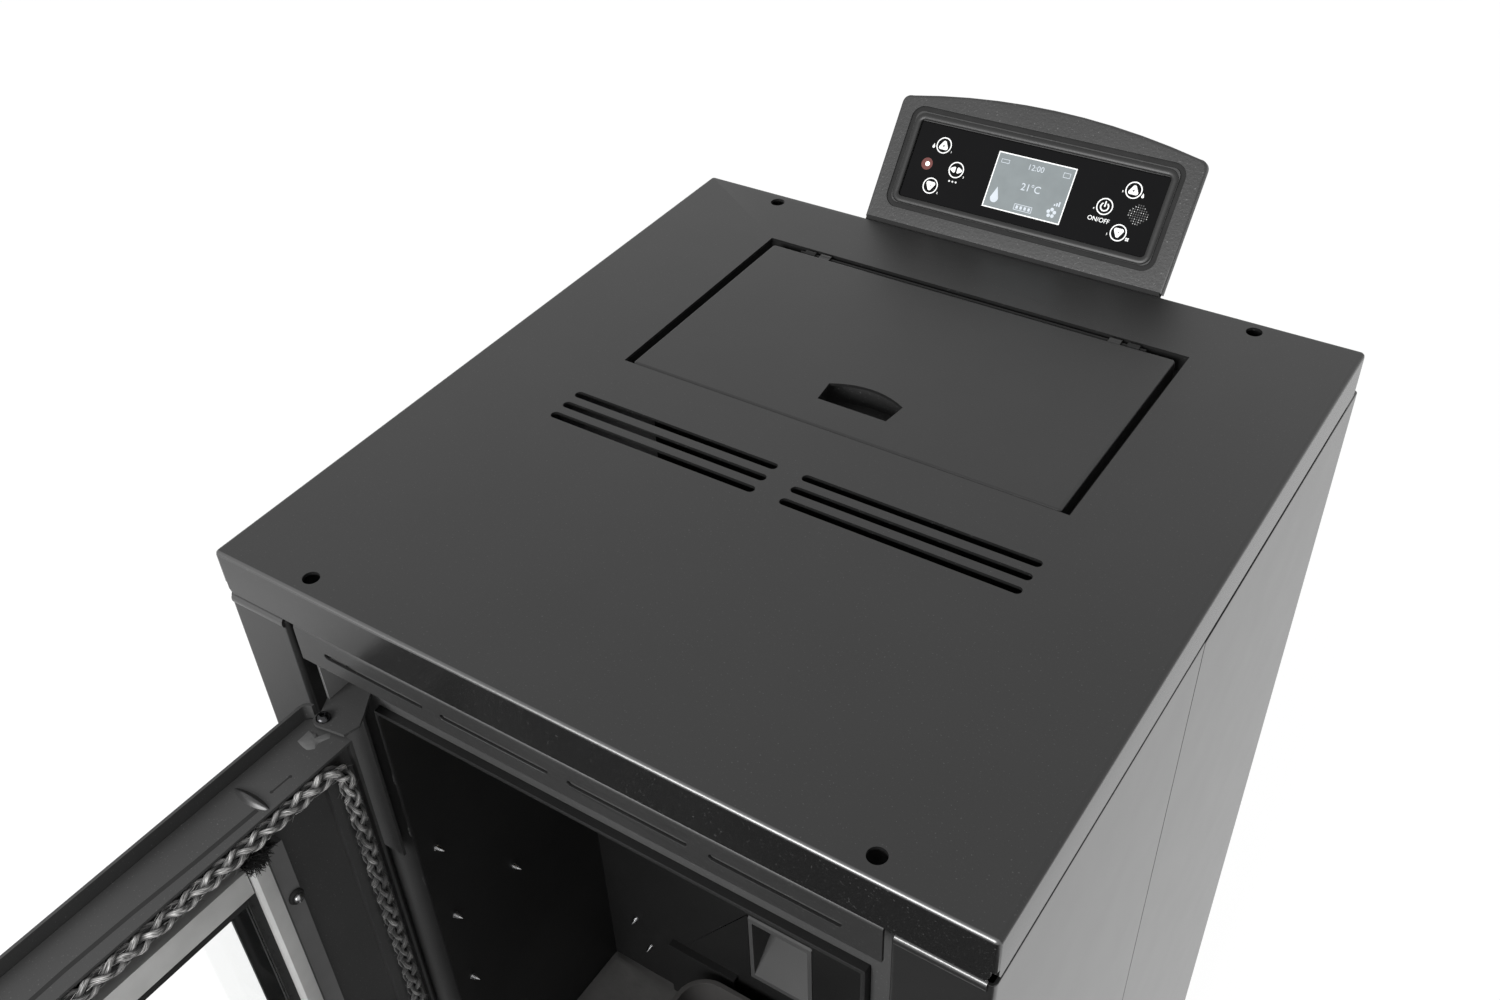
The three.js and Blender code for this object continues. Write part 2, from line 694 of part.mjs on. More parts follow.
function foot(x, y) {
  const profile = [
    [0, -FOOT_H],
    [FOOT_D / 2, -FOOT_H],
    [FOOT_D / 2, -FOOT_H + FOOT_PAD],
    [FOOT_NUT_D / 2, -FOOT_H + 2 * FOOT_PAD],
    [FOOT_NUT_D / 2, -FOOT_H + 2 * FOOT_PAD + FOOT_NUT_H],
    [STUD_D / 2, -FOOT_H + 2 * FOOT_PAD + FOOT_NUT_H],
    [STUD_D / 2, STUD_H],
    [0, STUD_H],
  ];
  return turned(profile, 12).translate([x, y, 0]);
}

// side is -1 for the left and 1 for the right
function frontPanel(side, columnW) {
  const returnX = HALF_W - columnW;
  const path = [
    [HALF_W, FRONT_Y + FRONT_PANEL_D],
    [HALF_W, FRONT_Y],
    [returnX, FRONT_Y],
    [returnX, FRONT_PLATE_Y - FIT],
  ];
  const right = alongZ(bentSheet(path, SHEET, BEND_R), 0, FRONT_PANEL_H);
  return side > 0 ? right : right.mirror([1, 0, 0]);
}

function rearPanel(side) {
  const path = [
    [HALF_W - REAR_FLANGE, BACK_Y],
    [HALF_W, BACK_Y],
    [HALF_W, FRONT_Y + FRONT_PANEL_D + PANEL_SEAM],
  ];
  const right = alongZ(bentSheet(path, SHEET, BEND_R), 0, REAR_PANEL_H);
  return side > 0 ? right : right.mirror([1, 0, 0]);
}

function backPanel() {
  const half = HALF_W - REAR_FLANGE - FIT;
  const whole = box(-half, half, BACK_Y - SHEET, BACK_Y, 0, BACK_PANEL_H);
  const from = BACK_Y - SHEET - CUT;
  const to = BACK_Y + CUT;
  const flue = circle(FLUE_X, FLUE_Z, FLUE_D / 2 + 2 * FIT);
  const intake = circle(INTAKE_X, INTAKE_Z, INTAKE_D / 2 + 2 * FIT);
  const inletHalf = INLET_W / 2 - INLET_LIP + FIT;
  const inlet = [
    INLET_X - inletHalf,
    INLET_X + inletHalf,
    from,
    to,
    INLET_Z + INLET_LIP - FIT,
    INLET_Z + INLET_H - INLET_LIP + FIT,
  ];
  const cutters = [alongY(flue, from, to, 24), alongY(intake, from, to, 20), box(...inlet)];
  for (let row = 0; row < BACK_VENT_ROWS; row += 1) {
    const z = BACK_VENT_Z + row * BACK_VENT_PITCH;
    for (const x of [-BACK_VENT_X, BACK_VENT_X]) {
      cutters.push(box(x - BACK_VENT_L / 2, x + BACK_VENT_L / 2, from, to, z, z + BACK_VENT_H));
    }
  }
  return carve(whole, ...cutters);
}

function frontPlate() {
  const half = HALF_W - SHEET - FIT;
  const from = FRONT_PLATE_Y - CUT;
  const to = FRONT_PLATE_Y + SHEET + CUT;
  const whole = box(-half, half, FRONT_PLATE_Y, FRONT_PLATE_Y + SHEET, BASE_TOP_Z, PLATE_UNDER_Z);
  const windowZ = FRONT_PANEL_H - AIR_WINDOW_H - SHEET;
  return carve(
    whole,
    box(
      FIREBOX_LEFT - FIT,
      FIREBOX_RIGHT + FIT,
      from,
      to,
      FIREBOX_BOTTOM_Z - FIT,
      FIREBOX_TOP_Z + FIT,
    ),
    box(
      ASH_LEFT + FIREBOX_WALL,
      ASH_RIGHT - FIREBOX_WALL,
      from,
      to,
      ASH_ROOM_Z + SHEET,
      DRAWER_TOP_Z,
    ),
    box(
      FIREBOX_X - AIR_WINDOW_W / 2,
      FIREBOX_X + AIR_WINDOW_W / 2,
      from,
      to,
      windowZ,
      windowZ + AIR_WINDOW_H,
    ),
  );
}

function lowerFrontPanel() {
  const top = DRAWER_BOTTOM_Z - LOWER_PANEL_GAP;
  const path = [
    [FRONT_PLATE_Y - FIT, top],
    [FRONT_Y, top],
    [FRONT_Y, 0],
  ];
  const sheet = bentSheet(path.reverse(), SHEET, BEND_R);
  return alongX(sheet, LEFT_RETURN_X + FIT, RIGHT_RETURN_X - FIT);
}

// ---------------------------------------------------------------- top plate and rail

function chamferCuts() {
  const cuts = [];
  const base = -LIP_H;
  for (const sx of [-1, 1]) {
    for (const sy of [-1, 1]) {
      const x = (sx * CASE_W) / 2;
      const y = (sy * PLATE_D) / 2;
      const frontTriangle = outline([
        [x + sx * CUT, base - CUT],
        [x + sx * CUT, base + LIP_CHAMFER_H],
        [x, base + LIP_CHAMFER_H],
        [x - sx * LIP_CHAMFER_W, base],
        [x - sx * LIP_CHAMFER_W, base - CUT],
      ]);
      const sideTriangle = outline([
        [y + sy * CUT, base - CUT],
        [y + sy * CUT, base + LIP_CHAMFER_H],
        [y, base + LIP_CHAMFER_H],
        [y - sy * LIP_CHAMFER_W, base],
        [y - sy * LIP_CHAMFER_W, base - CUT],
      ]);
      const inY = y - sy * (SHEET + CUT);
      const inX = x - sx * (SHEET + CUT);
      const outY = y + sy * CUT;
      const outX = x + sx * CUT;
      cuts.push(alongY(frontTriangle, Math.min(inY, outY), Math.max(inY, outY)));
      cuts.push(alongX(sideTriangle, Math.min(inX, outX), Math.max(inX, outX)));
    }
  }
  return cuts;
}

function slotAlongX(x0, x1, middle, width) {
  return roundRect(x0, x1, middle - width / 2, middle + width / 2, width / 2);
}

function topPlate() {
  const innerR = Math.max(PLATE_EDGE_R - SHEET, 0.3);
  const inner = crownedSlab(CASE_W - 2 * SHEET, PLATE_D - 2 * SHEET, LIP_H, innerR);
  const cutters = [inner.translate([0, 0, -SHEET]), ...chamferCuts()];
  const from = -SHEET - CUT;
  for (const x of [-FIXING_SPACING / 2, FIXING_SPACING / 2]) {
    for (const y of [-PLATE_D / 2 + FIXING_FRONT, PLATE_D / 2 - FIXING_REAR]) {
      cutters.push(alongZ(circle(x, y, FIXING_HOLE_D / 2), from, CUT, 16));
    }
  }
  for (let row = 0; row < VENT_ROWS; row += 1) {
    const y = VENT_Y + (row - (VENT_ROWS - 1) / 2) * VENT_PITCH;
    const x = VENT_GAP / 2;
    cutters.push(alongZ(slotAlongX(x, x + VENT_L, y, VENT_W), from, CUT));
    cutters.push(alongZ(slotAlongX(-x - VENT_L, -x, y, VENT_W), from, CUT));
  }
  const lidX = LID_OPENING_W / 2;
  cutters.push(box(-lidX, lidX, LID_OPENING_Y, LID_OPENING_Y + LID_OPENING_D, from, CUT));
  const slab = crownedSlab(CASE_W, PLATE_D, LIP_H, PLATE_EDGE_R);
  return carve(slab, ...cutters).translate([0, 0, CASE_H]);
}

function frontRail() {
  const top = CASE_H - LIP_H - RAIL_TOP_GAP;
  const left = LEFT_RETURN_X + RAIL_LEFT_GAP;
  const right = RIGHT_RETURN_X - RAIL_RIGHT_GAP;
  const path = [
    [FRONT_Y, top - RAIL_H],
    [FRONT_Y, top],
    [FRONT_PLATE_Y - FIT, top],
  ];
  const whole = alongX(bentSheet(path, SHEET, BEND_R), left, right);
  const slotZ = top - (RAIL_H + SHEET) / 2;
  const cutters = [];
  for (let k = 0; k < RAIL_SLOTS; k += 1) {
    const x = (left + right) / 2 + (k - (RAIL_SLOTS - 1) / 2) * RAIL_SLOT_PITCH;
    const slot = slotAlongX(x - RAIL_SLOT_L / 2, x + RAIL_SLOT_L / 2, slotZ, RAIL_SLOT_W);
    cutters.push(alongY(slot, FRONT_Y - CUT, FRONT_Y + SHEET + CUT));
  }
  return carve(whole, ...cutters);
}

// ---------------------------------------------------------------- hopper and lid

function hopper() {
  const half = LID_OPENING_W / 2 + RECESS_MARGIN;
  const front = LID_OPENING_Y - RECESS_MARGIN;
  const rear = LID_OPENING_Y + LID_OPENING_D + RECESS_MARGIN;
  const w = HOPPER_WALL;
  const ledgeBottom = LEDGE_TOP_Z - w;
  const inX = LID_OPENING_W / 2 - HOPPER_LEDGE_SIDE;
  const inFront = LID_OPENING_Y + HOPPER_LEDGE_FRONT;
  const inRear = LID_OPENING_Y + LID_OPENING_D - HOPPER_LEDGE_SIDE;
  const throatX = POT_X - AUGER_DUCT / 2;
  const throatY = AUGER_INLET_Y;
  const funnel = (grow, top, bottom) => stack([
    rectRing(
      throatX + w - grow,
      throatX + AUGER_DUCT - w + grow,
      throatY + w - grow,
      throatY + AUGER_DUCT - w + grow,
      HOPPER_BOTTOM_Z - bottom,
    ),
    rectRing(
      throatX + w - grow,
      throatX + AUGER_DUCT - w + grow,
      throatY + w - grow,
      throatY + AUGER_DUCT - w + grow,
      HOPPER_BOTTOM_Z,
    ),
    rectRing(-inX - grow, inX + grow, inFront - grow, inRear + grow, HOPPER_KNEE_Z),
    rectRing(-inX - grow, inX + grow, inFront - grow, inRear + grow, top),
  ]);
  const recess = box(-half - w, half + w, front - w, rear + w, ledgeBottom, PLATE_UNDER_Z);
  const recessRoom = box(-half, half, front, rear, LEDGE_TOP_Z, PLATE_UNDER_Z + CUT);
  const collar = 0.2;
  const knuckles = [];
  for (const side of [-1, 1]) {
    const x = side * (LID_LUG_SPAN / 2 + KNUCKLE_STEP) - LID_LUG_W / 2;
    const r = LID_AXIS_BEHIND - FIT;
    knuckles.push(alongX(circle(LID_AXIS_Y, LID_AXIS_Z, r), x, x + LID_LUG_W, 12));
    knuckles.push(box(x, x + LID_LUG_W, LID_AXIS_Y, rear + w / 2, LID_AXIS_Z - r, PLATE_UNDER_Z));
  }
  const pinHole = circle(LID_AXIS_Y, LID_AXIS_Z, LID_PIN_D / 2 + PIN_CLEARANCE);
  const body = join(
    carve(recess, recessRoom),
    funnel(w, LEDGE_TOP_Z, collar),
    ...knuckles,
  );
  return carve(
    body,
    funnel(0, LEDGE_TOP_Z + CUT, CUT),
    alongX(pinHole, -half, half, 12),
  );
}

function fingerOutline(grow, frontY) {
  const half0 = FINGER_FRONT_W / 2 + grow;
  const half1 = FINGER_BACK_W / 2 + grow;
  const side = frontY + FINGER_SIDE + grow;
  const shape = new THREE.Shape();
  shape.moveTo(-half0, frontY - grow);
  shape.lineTo(half0, frontY - grow);
  shape.lineTo(half1, side);
  shape.quadraticCurveTo(0, side + 2 * FINGER_RISE, -half1, side);
  return shape;
}

// In the lid's own frame: the hinge axis is the origin
function hopperLid() {
  const top = LID_AXIS_DROP;
  const rear = -LID_AXIS_BEHIND;
  const middle = rear - LID_D / 2;
  const innerR = Math.max(LID_EDGE_R - SHEET, 0.3);
  const inner = crownedSlab(LID_W - 2 * SHEET, LID_D - 2 * SHEET, LID_FOLD, innerR);
  const shell = carve(
    crownedSlab(LID_W, LID_D, LID_FOLD, LID_EDGE_R),
    inner.translate([0, 0, -SHEET]),
  ).translate([0, middle, top]);
  const lugR = LID_AXIS_DROP;
  const lugs = [];
  for (const side of [-1, 1]) {
    const x = (side * LID_LUG_SPAN) / 2 - LID_LUG_W / 2;
    const round = alongX(circle(0, 0, lugR), x, x + LID_LUG_W, 12);
    const arm = box(x, x + LID_LUG_W, rear - SHEET / 2, 0, -lugR, lugR - 0.5);
    lugs.push(round, arm);
  }
  const bore = circle(0, 0, LID_PIN_D / 2 + PIN_CLEARANCE);
  const hole = fingerOutline(0, rear - LID_D + FINGER_SETBACK);
  return carve(
    join(shell, ...lugs),
    alongX(bore, -LID_W / 2, LID_W / 2, 12),
    alongZ(hole, top - SHEET - CUT, top + CUT, 10),
  );
}

function fingerCup() {
  const frontY = -LID_AXIS_BEHIND - LID_D + FINGER_SETBACK;
  const top = LID_AXIS_DROP - SHEET - FIT;
  const bottom = top - CUP_DEPTH;
  const outer = alongZ(fingerOutline(CUP_MARGIN, frontY), bottom, top, 10);
  const inner = fingerOutline(CUP_MARGIN - CUP_WALL, frontY);
  return carve(outer, alongZ(inner, bottom + CUP_WALL, top + CUT, 10));
}

function lidHingePin() {
  const half = LID_LUG_SPAN / 2 + KNUCKLE_STEP + LID_LUG_W;
  return alongX(circle(LID_AXIS_Y, LID_AXIS_Z, LID_PIN_D / 2), -half, half, 12);
}

// ---------------------------------------------------------------- firebox

function firebox() {
  const w = FIREBOX_WALL;
  const room = [FIREBOX_LEFT, FIREBOX_RIGHT, COLLAR_Y, FIREBOX_BACK];
  const shell = hollowBox([...room, FIREBOX_BOTTOM_Z, FIREBOX_TOP_Z], w, '-y');
  const ledge = box(
    FIREBOX_LEFT + w / 2,
    FIREBOX_RIGHT - w / 2,
    COLLAR_Y + CUT,
    FIREBOX_BACK - w / 2,
    LEDGE_Z - w,
    LEDGE_Z,
  );
  const ashOuter = [ASH_LEFT, ASH_RIGHT, ASH_FRONT, ASH_BACK, ASH_ROOM_Z, FIREBOX_BOTTOM_Z + w];
  const ashRoom = hollowBox(ashOuter, w, '-y');
  const potY = FIREBOX_INNER_BACK - POT_BACK_GAP - POT_D / 2;
  const potHole = potOutline(FIT + POT_WALL / 4);
  const ashHole = [
    POT_X - POT_W / 2 - ASH_HOLE_MARGIN,
    POT_X + POT_W / 2 + ASH_HOLE_MARGIN,
    potY - POT_D / 2 + ASH_HOLE_MARGIN,
    potY + POT_D / 2 - ASH_HOLE_MARGIN,
    FIREBOX_BOTTOM_Z - CUT,
    FIREBOX_BOTTOM_Z + w + CUT,
  ];
  const back = [FIREBOX_INNER_BACK - CUT, FIREBOX_BACK + CUT];
  const chuteHalf = CHUTE_W / 2 + FIT;
  const smokeX = DUCT_RIGHT_X - DUCT_W / 2;
  return carve(
    join(shell, ledge, ashRoom),
    alongZ(potHole, LEDGE_Z - w - CUT, LEDGE_Z + CUT),
    box(...ashHole),
    box(
      POT_X - chuteHalf,
      POT_X + chuteHalf,
      ...back,
      CHUTE_MOUTH_Z - FIT,
      CHUTE_MOUTH_Z + CHUTE_MOUTH_H + FIREBOX_WALL + FIT,
    ),
    box(
      smokeX - SMOKE_HOLE_W / 2,
      smokeX + SMOKE_HOLE_W / 2,
      ...back,
      SMOKE_HOLE_Z,
      SMOKE_HOLE_Z + SMOKE_HOLE_H,
    ),
    alongY(circle(INTAKE_X, INTAKE_Z, AIR_HOLE_D / 2), ...back, 12),
    alongY(circle(POT_X, IGNITER_Z, IGNITER_D / 2 + 2 * FIT), ...back, 10),
  );
}

function flameBaffle() {
  const inset = FIREBOX_WALL + FIT;
  return box(
    FIREBOX_LEFT + inset,
    FIREBOX_RIGHT - inset,
    FIREBOX_INNER_BACK - FIT - BAFFLE_D,
    FIREBOX_INNER_BACK - FIT,
    BAFFLE_Z,
    BAFFLE_Z + BAFFLE_T,
  );
}

function potOutline(grow) {
  const back = FIREBOX_INNER_BACK - POT_BACK_GAP;
  return roundRect(
    POT_X - POT_W / 2 - grow,
    POT_X + POT_W / 2 + grow,
    back - POT_D - grow,
    back + grow,
    POT_R + grow,
  );
}

function burnPot() {
  const flangeZ = LEDGE_Z + FIT;
  const back = FIREBOX_INNER_BACK - POT_BACK_GAP;
  const whole = join(
    alongZ(potOutline(0), POT_BOTTOM_Z, POT_RIM_Z),
    alongZ(potOutline(POT_FLANGE), flangeZ, flangeZ + POT_FLANGE_T),
  );
  const cutters = [alongZ(potOutline(-POT_WALL), POT_BOTTOM_Z + POT_WALL, POT_RIM_Z + CUT)];
  const igniterHole = circle(POT_X, IGNITER_Z, IGNITER_HOLE_D / 2);
  cutters.push(alongY(igniterHole, back - POT_WALL - CUT, back + CUT, 8));
  for (let i = 0; i < POT_HOLE_COLUMNS; i += 1) {
    for (let j = 0; j < POT_HOLE_ROWS; j += 1) {
      const x = POT_X + (i - (POT_HOLE_COLUMNS - 1) / 2) * POT_HOLE_PITCH;
      const y = back - POT_D / 2 + (j - (POT_HOLE_ROWS - 1) / 2) * POT_HOLE_PITCH;
      const hole = circle(x, y, POT_HOLE_D / 2);
      cutters.push(alongZ(hole, POT_BOTTOM_Z - CUT, POT_BOTTOM_Z + POT_WALL + CUT, 8));
    }
  }
  return carve(whole, ...cutters);
}

function igniter() {
  const tip = FIREBOX_INNER_BACK - POT_BACK_GAP + FIT;
  const face = FIREBOX_BACK + FIT;
  return join(
    alongY(circle(POT_X, IGNITER_Z, IGNITER_D / 2), tip, FIREBOX_BACK + IGNITER_BACK, 10),
    alongY(circle(POT_X, IGNITER_Z, IGNITER_FLANGE_D / 2), face, face + IGNITER_FLANGE_T, 12),
  );
}

// ---------------------------------------------------------------- pellet feed

// The chute's side view; inset draws its walls in and runs past both of its mouths
function chuteOutline(inset) {
  const front = FIREBOX_INNER_BACK;
  const past = inset > 0 ? CUT : 0;
  const slope = inset * Math.SQRT2;
  const rear = front + CHUTE_BACK - inset;
  const riser = front + CHUTE_RISE_D + inset;
  const floor = (y) => CHUTE_MOUTH_Z + (y - front) + slope;
  const roof = (y) => CHUTE_MOUTH_Z + CHUTE_MOUTH_H + (y - front) - slope;
  return outline([
    [front - past, floor(front - past)],
    [rear, floor(rear)],
    [rear, CHUTE_TOP_Z + past],
    [riser, CHUTE_TOP_Z + past],
    [riser, roof(riser)],
    [front - past, roof(front - past)],
  ]);
}

function pelletChute() {
  const half = CHUTE_W / 2;
  const inner = half - CHUTE_WALL;
  return carve(
    alongX(chuteOutline(0), POT_X - half, POT_X + half),
    alongX(chuteOutline(CHUTE_WALL), POT_X - inner, POT_X + inner),
  );
}

// Turns a solid that runs up the Z axis from the origin onto the auger's axis
function tiltToAuger(whole) {
  return whole.rotate([AUGER_TILT, 0, 0]).translate([POT_X, AUGER_FOOT_Y, AUGER_FOOT_Z]);
}

function augerAxisZ(y) {
  const slope = Math.tan(THREE.MathUtils.degToRad(90 - AUGER_TILT));
  return AUGER_FOOT_Z + (AUGER_FOOT_Y - y) * slope;
}

function augerTube() {
  const r = AUGER_TUBE_D / 2;
  const boreR = r - AUGER_TUBE_WALL;
  const wall = AUGER_TUBE_WALL;
  const tube = tiltToAuger(alongZ(circle(0, 0, r), 0, AUGER_TUBE_L, 24));
  const bore = tiltToAuger(alongZ(circle(0, 0, boreR), wall, AUGER_TUBE_L - wall, 24));
  const shaftR = SCREW_SHAFT_D / 2 + SHAFT_CLEARANCE;
  const shaftHole = tiltToAuger(alongZ(circle(0, 0, shaftR), -CUT, wall + CUT, 10));
  const half = AUGER_DUCT / 2;
  const d = AUGER_DUCT_WALL;
  const inletZ = augerAxisZ(AUGER_INLET_Y + half);
  const outletZ = augerAxisZ(AUGER_OUTLET_Y + half);
  const inletEnd = AUGER_INLET_Y + AUGER_DUCT;
  const outletEnd = AUGER_OUTLET_Y + AUGER_DUCT - AUGER_OUTLET_CLEARANCE;
  const outletBottom = CHUTE_TOP_Z + FIT;
  return carve(
    join(
      tube,
      box(POT_X - half, POT_X + half, AUGER_INLET_Y, inletEnd, inletZ, AUGER_INLET_TOP_Z),
      box(POT_X - half, POT_X + half, AUGER_OUTLET_Y, outletEnd, outletBottom, outletZ),
    ),
    bore,
    shaftHole,
    box(
      POT_X - half + d,
      POT_X + half - d,
      AUGER_INLET_Y + d,
      inletEnd - d,
      inletZ,
      AUGER_INLET_TOP_Z + CUT,
    ),
    box(
      POT_X - half + d,
      POT_X + half - d,
      AUGER_OUTLET_Y + d,
      outletEnd - d,
      outletBottom - CUT,
      outletZ,
    ),
  );
}

function augerTubeLower() {
  const reach = 2 * AUGER_TUBE_L;
  return carve(
    augerTube(),
    tiltToAuger(box(-reach, reach, -reach, reach, AUGER_JOINT_AT, reach)),
  );
}

function augerTubeUpper() {
  const reach = 2 * AUGER_TUBE_L;
  return carve(
    augerTube(),
    tiltToAuger(box(-reach, reach, -reach, reach, -reach, AUGER_JOINT_AT + FIT)),
  );
}

// In the auger's own frame: the tube's lower end is the origin and +Z runs up the tube
function augerScrew() {
  const stepsPerTurn = 12;
  const innerR = SCREW_SHAFT_D / 4;
  const outerR = SCREW_D / 2;
  const rings = [];
  for (let k = 0; k <= SCREW_TURNS * stepsPerTurn; k += 1) {
    const angle = (2 * Math.PI * k) / stepsPerTurn;
    const z = SCREW_START + (SCREW_PITCH * k) / stepsPerTurn;
    const c = Math.cos(angle);
    const s = Math.sin(angle);
    rings.push([
      [innerR * c, innerR * s, z],
      [innerR * c, innerR * s, z + SCREW_BLADE],
      [outerR * c, outerR * s, z + SCREW_BLADE],
      [outerR * c, outerR * s, z],
    ]);
  }
  const blade = stack(rings).rotate([0, 0, SCREW_PHASE]);
  const top = SCREW_START + SCREW_PITCH * SCREW_TURNS + 2 * SCREW_BLADE;
  const shaft = alongZ(circle(0, 0, SCREW_SHAFT_D / 2), -GEARBOX_L / 2, top, 8);
  return join(shaft, blade);
}

function augerMotor() {
  const half = GEARBOX / 2;
  const bore = circle(0, 0, SCREW_SHAFT_D / 2 + SHAFT_CLEARANCE);
  const end = -FIT - GEARBOX_L;
  const gearbox = box(-half, half, -half, half, end, -FIT);
  const motor = alongZ(circle(0, 0, AUGER_MOTOR_D / 2), end - AUGER_MOTOR_L, end + CUT, 16);
  return carve(join(gearbox, motor), alongZ(bore, -GEARBOX_L / 2 - CUT, CUT, 10));
}

// ---------------------------------------------------------------- exhaust and air

const DUCT_LEFT_X = DUCT_RIGHT_X - DUCT_W;
const EXHAUST_RIGHT_X = DUCT_LEFT_X - FIT;
const EXHAUST_LEFT_X = EXHAUST_RIGHT_X - EXHAUST_W;
const FLUE_X = (EXHAUST_LEFT_X + EXHAUST_RIGHT_X) / 2;
const FLUE_Z = EXHAUST_Z + EXHAUST_R - EXHAUST_OUTLET_H / 2;

// The port that lines up in the duct's wall and in the fan housing's
function fanPort(x0, x1) {
  const half = FAN_PORT / 2;
  return box(x0, x1, EXHAUST_Y - half, EXHAUST_Y + half, EXHAUST_Z - half, EXHAUST_Z + half);
}

function smokeDuct() {
  const front = FIREBOX_BACK + FIT;
  const outer = [DUCT_LEFT_X, DUCT_RIGHT_X, front, front + DUCT_D, DUCT_BOTTOM_Z, DUCT_TOP_Z];
  const inner = [
    DUCT_LEFT_X + DUCT_WALL,
    DUCT_RIGHT_X - DUCT_WALL,
    front + DUCT_WALL,
    front + DUCT_D - DUCT_WALL,
    DUCT_BOTTOM_Z + DUCT_WALL,
    DUCT_TOP_Z - DUCT_WALL,
  ];
  const smokeX = (DUCT_LEFT_X + DUCT_RIGHT_X) / 2;
  const fireboxSide = box(
    smokeX - SMOKE_HOLE_W / 2,
    smokeX + SMOKE_HOLE_W / 2,
    front - CUT,
    front + DUCT_WALL + CUT,
    SMOKE_HOLE_Z,
    SMOKE_HOLE_Z + SMOKE_HOLE_H,
  );
  return carve(
    box(...outer),
    box(...inner),
    fireboxSide,
    fanPort(DUCT_LEFT_X - CUT, DUCT_LEFT_X + DUCT_WALL + CUT),
  );
}

function exhaustFanHousing() {
  const x0 = EXHAUST_LEFT_X;
  const x1 = EXHAUST_RIGHT_X;
  const y = EXHAUST_Y;
  const z = EXHAUST_Z;
  const r = EXHAUST_R;
  const w = FAN_WALL;
  const bottom = z + r - EXHAUST_OUTLET_H;
  return carve(
    join(
      alongX(circle(y, z, r), x0, x1, 24),
      box(x0, x1, y, EXHAUST_OUTLET_Y, bottom, z + r),
      box(x0, x0 + FAN_LEG_T, y - FAN_LEG_W / 2, y + FAN_LEG_W / 2, BASE_TOP_Z, z - r + 2 * w),
    ),
    alongX(circle(y, z, r - w), x0 + w, x1 - w, 24),
    box(x0 + w, x1 - w, y, EXHAUST_OUTLET_Y + CUT, bottom + w, z + r - w),
    fanPort(x1 - w - CUT, x1 + CUT),
    alongX(circle(y, z, FAN_SHAFT_D), x0 - CUT, x0 + w + CUT, 10),
  );
}

// A fan wheel with its shaft towards -X or +X: a back disc, a hub and flat blades
function impeller({ x0, width, y, z, radius, blades, shaftEnd }) {
  const disc = 2;
  const shaftFromLeft = shaftEnd < x0;
  const discX = shaftFromLeft ? x0 : x0 + width - disc;
  const shaft = shaftFromLeft ? [shaftEnd, x0 + width / 2] : [x0 + width / 2, shaftEnd];
  const solids = [
    alongX(circle(0, 0, radius), discX, discX + disc, 20),
    alongX(circle(0, 0, FAN_HUB_D / 2), x0, x0 + width, 10),
    alongX(circle(0, 0, FAN_SHAFT_D / 2), ...shaft, 10),
  ];
  for (let k = 0; k < blades; k += 1) {
    const blade = box(x0, x0 + width, -disc / 2, disc / 2, FAN_HUB_D / 4, radius - disc);
    solids.push(blade.rotate([(360 * k) / blades, 0, 0]));
  }
  return join(...solids).translate([0, y, z]);
}

function fanMotor(x0, x1, y, z, boreFrom) {
  const bore = circle(y, z, FAN_SHAFT_D / 2 + SHAFT_CLEARANCE);
  const cut = boreFrom === 'right' ? [x1 - FAN_MOTOR_BORE, x1 + CUT] : [x0 - CUT, x0 + FAN_MOTOR_BORE];
  return carve(alongX(circle(y, z, FAN_MOTOR_D / 2), x0, x1, 16), alongX(bore, ...cut, 10));
}

function flueOutlet() {
  const front = EXHAUST_OUTLET_Y + FIT;
  const rear = BACK_Y + PIPE_REACH;
  const half = FLUE_FLANGE / 2;
  return carve(
    join(
      alongY(circle(FLUE_X, FLUE_Z, FLUE_D / 2), front, rear, 24),
      box(FLUE_X - half, FLUE_X + half, front, front + FLUE_FLANGE_T, FLUE_Z - half, FLUE_Z + half),
    ),
    alongY(circle(FLUE_X, FLUE_Z, FLUE_D / 2 - FLUE_WALL), front - CUT, rear + CUT, 24),
  );
}

function airIntake() {
  const front = FIREBOX_BACK + FIT;
  const rear = BACK_Y + PIPE_REACH;
  const r = INTAKE_D / 2;
  return carve(
    alongY(circle(INTAKE_X, INTAKE_Z, r), front, rear, 20),
    alongY(circle(INTAKE_X, INTAKE_Z, r - FLUE_WALL), front - CUT, rear + CUT, 20),
  );
}

function convectionFanHousing() {
  const x0 = BLOWER_X;
  const x1 = BLOWER_X + BLOWER_W;
  const y = BLOWER_Y;
  const z = BLOWER_Z;
  const r = BLOWER_R;
  const w = FAN_WALL;
  const legHalf = FAN_LEG_W / 2;
  return carve(
    join(
      alongX(circle(y, z, r), x0, x1, 24),
      box(x0, x1, y - r, y - r + BLOWER_OUTLET_D, z, BLOWER_OUTLET_Z),
      box(x1 - FAN_LEG_T, x1, y - legHalf, y + legHalf, BASE_TOP_Z, z - r + 2 * w),
    ),
    alongX(circle(y, z, r - w), x0 + w, x1 - w, 24),
    box(x0 + w, x1 - w, y - r + w, y - r + BLOWER_OUTLET_D - w, z, BLOWER_OUTLET_Z + CUT),
    alongX(circle(y, z, FAN_INLET_D / 2), x0 - CUT, x0 + w + CUT, 12),
    alongX(circle(y, z, FAN_SHAFT_D), x1 - w - CUT, x1 + CUT, 10),
  );
}

// ---------------------------------------------------------------- door hinges and latch

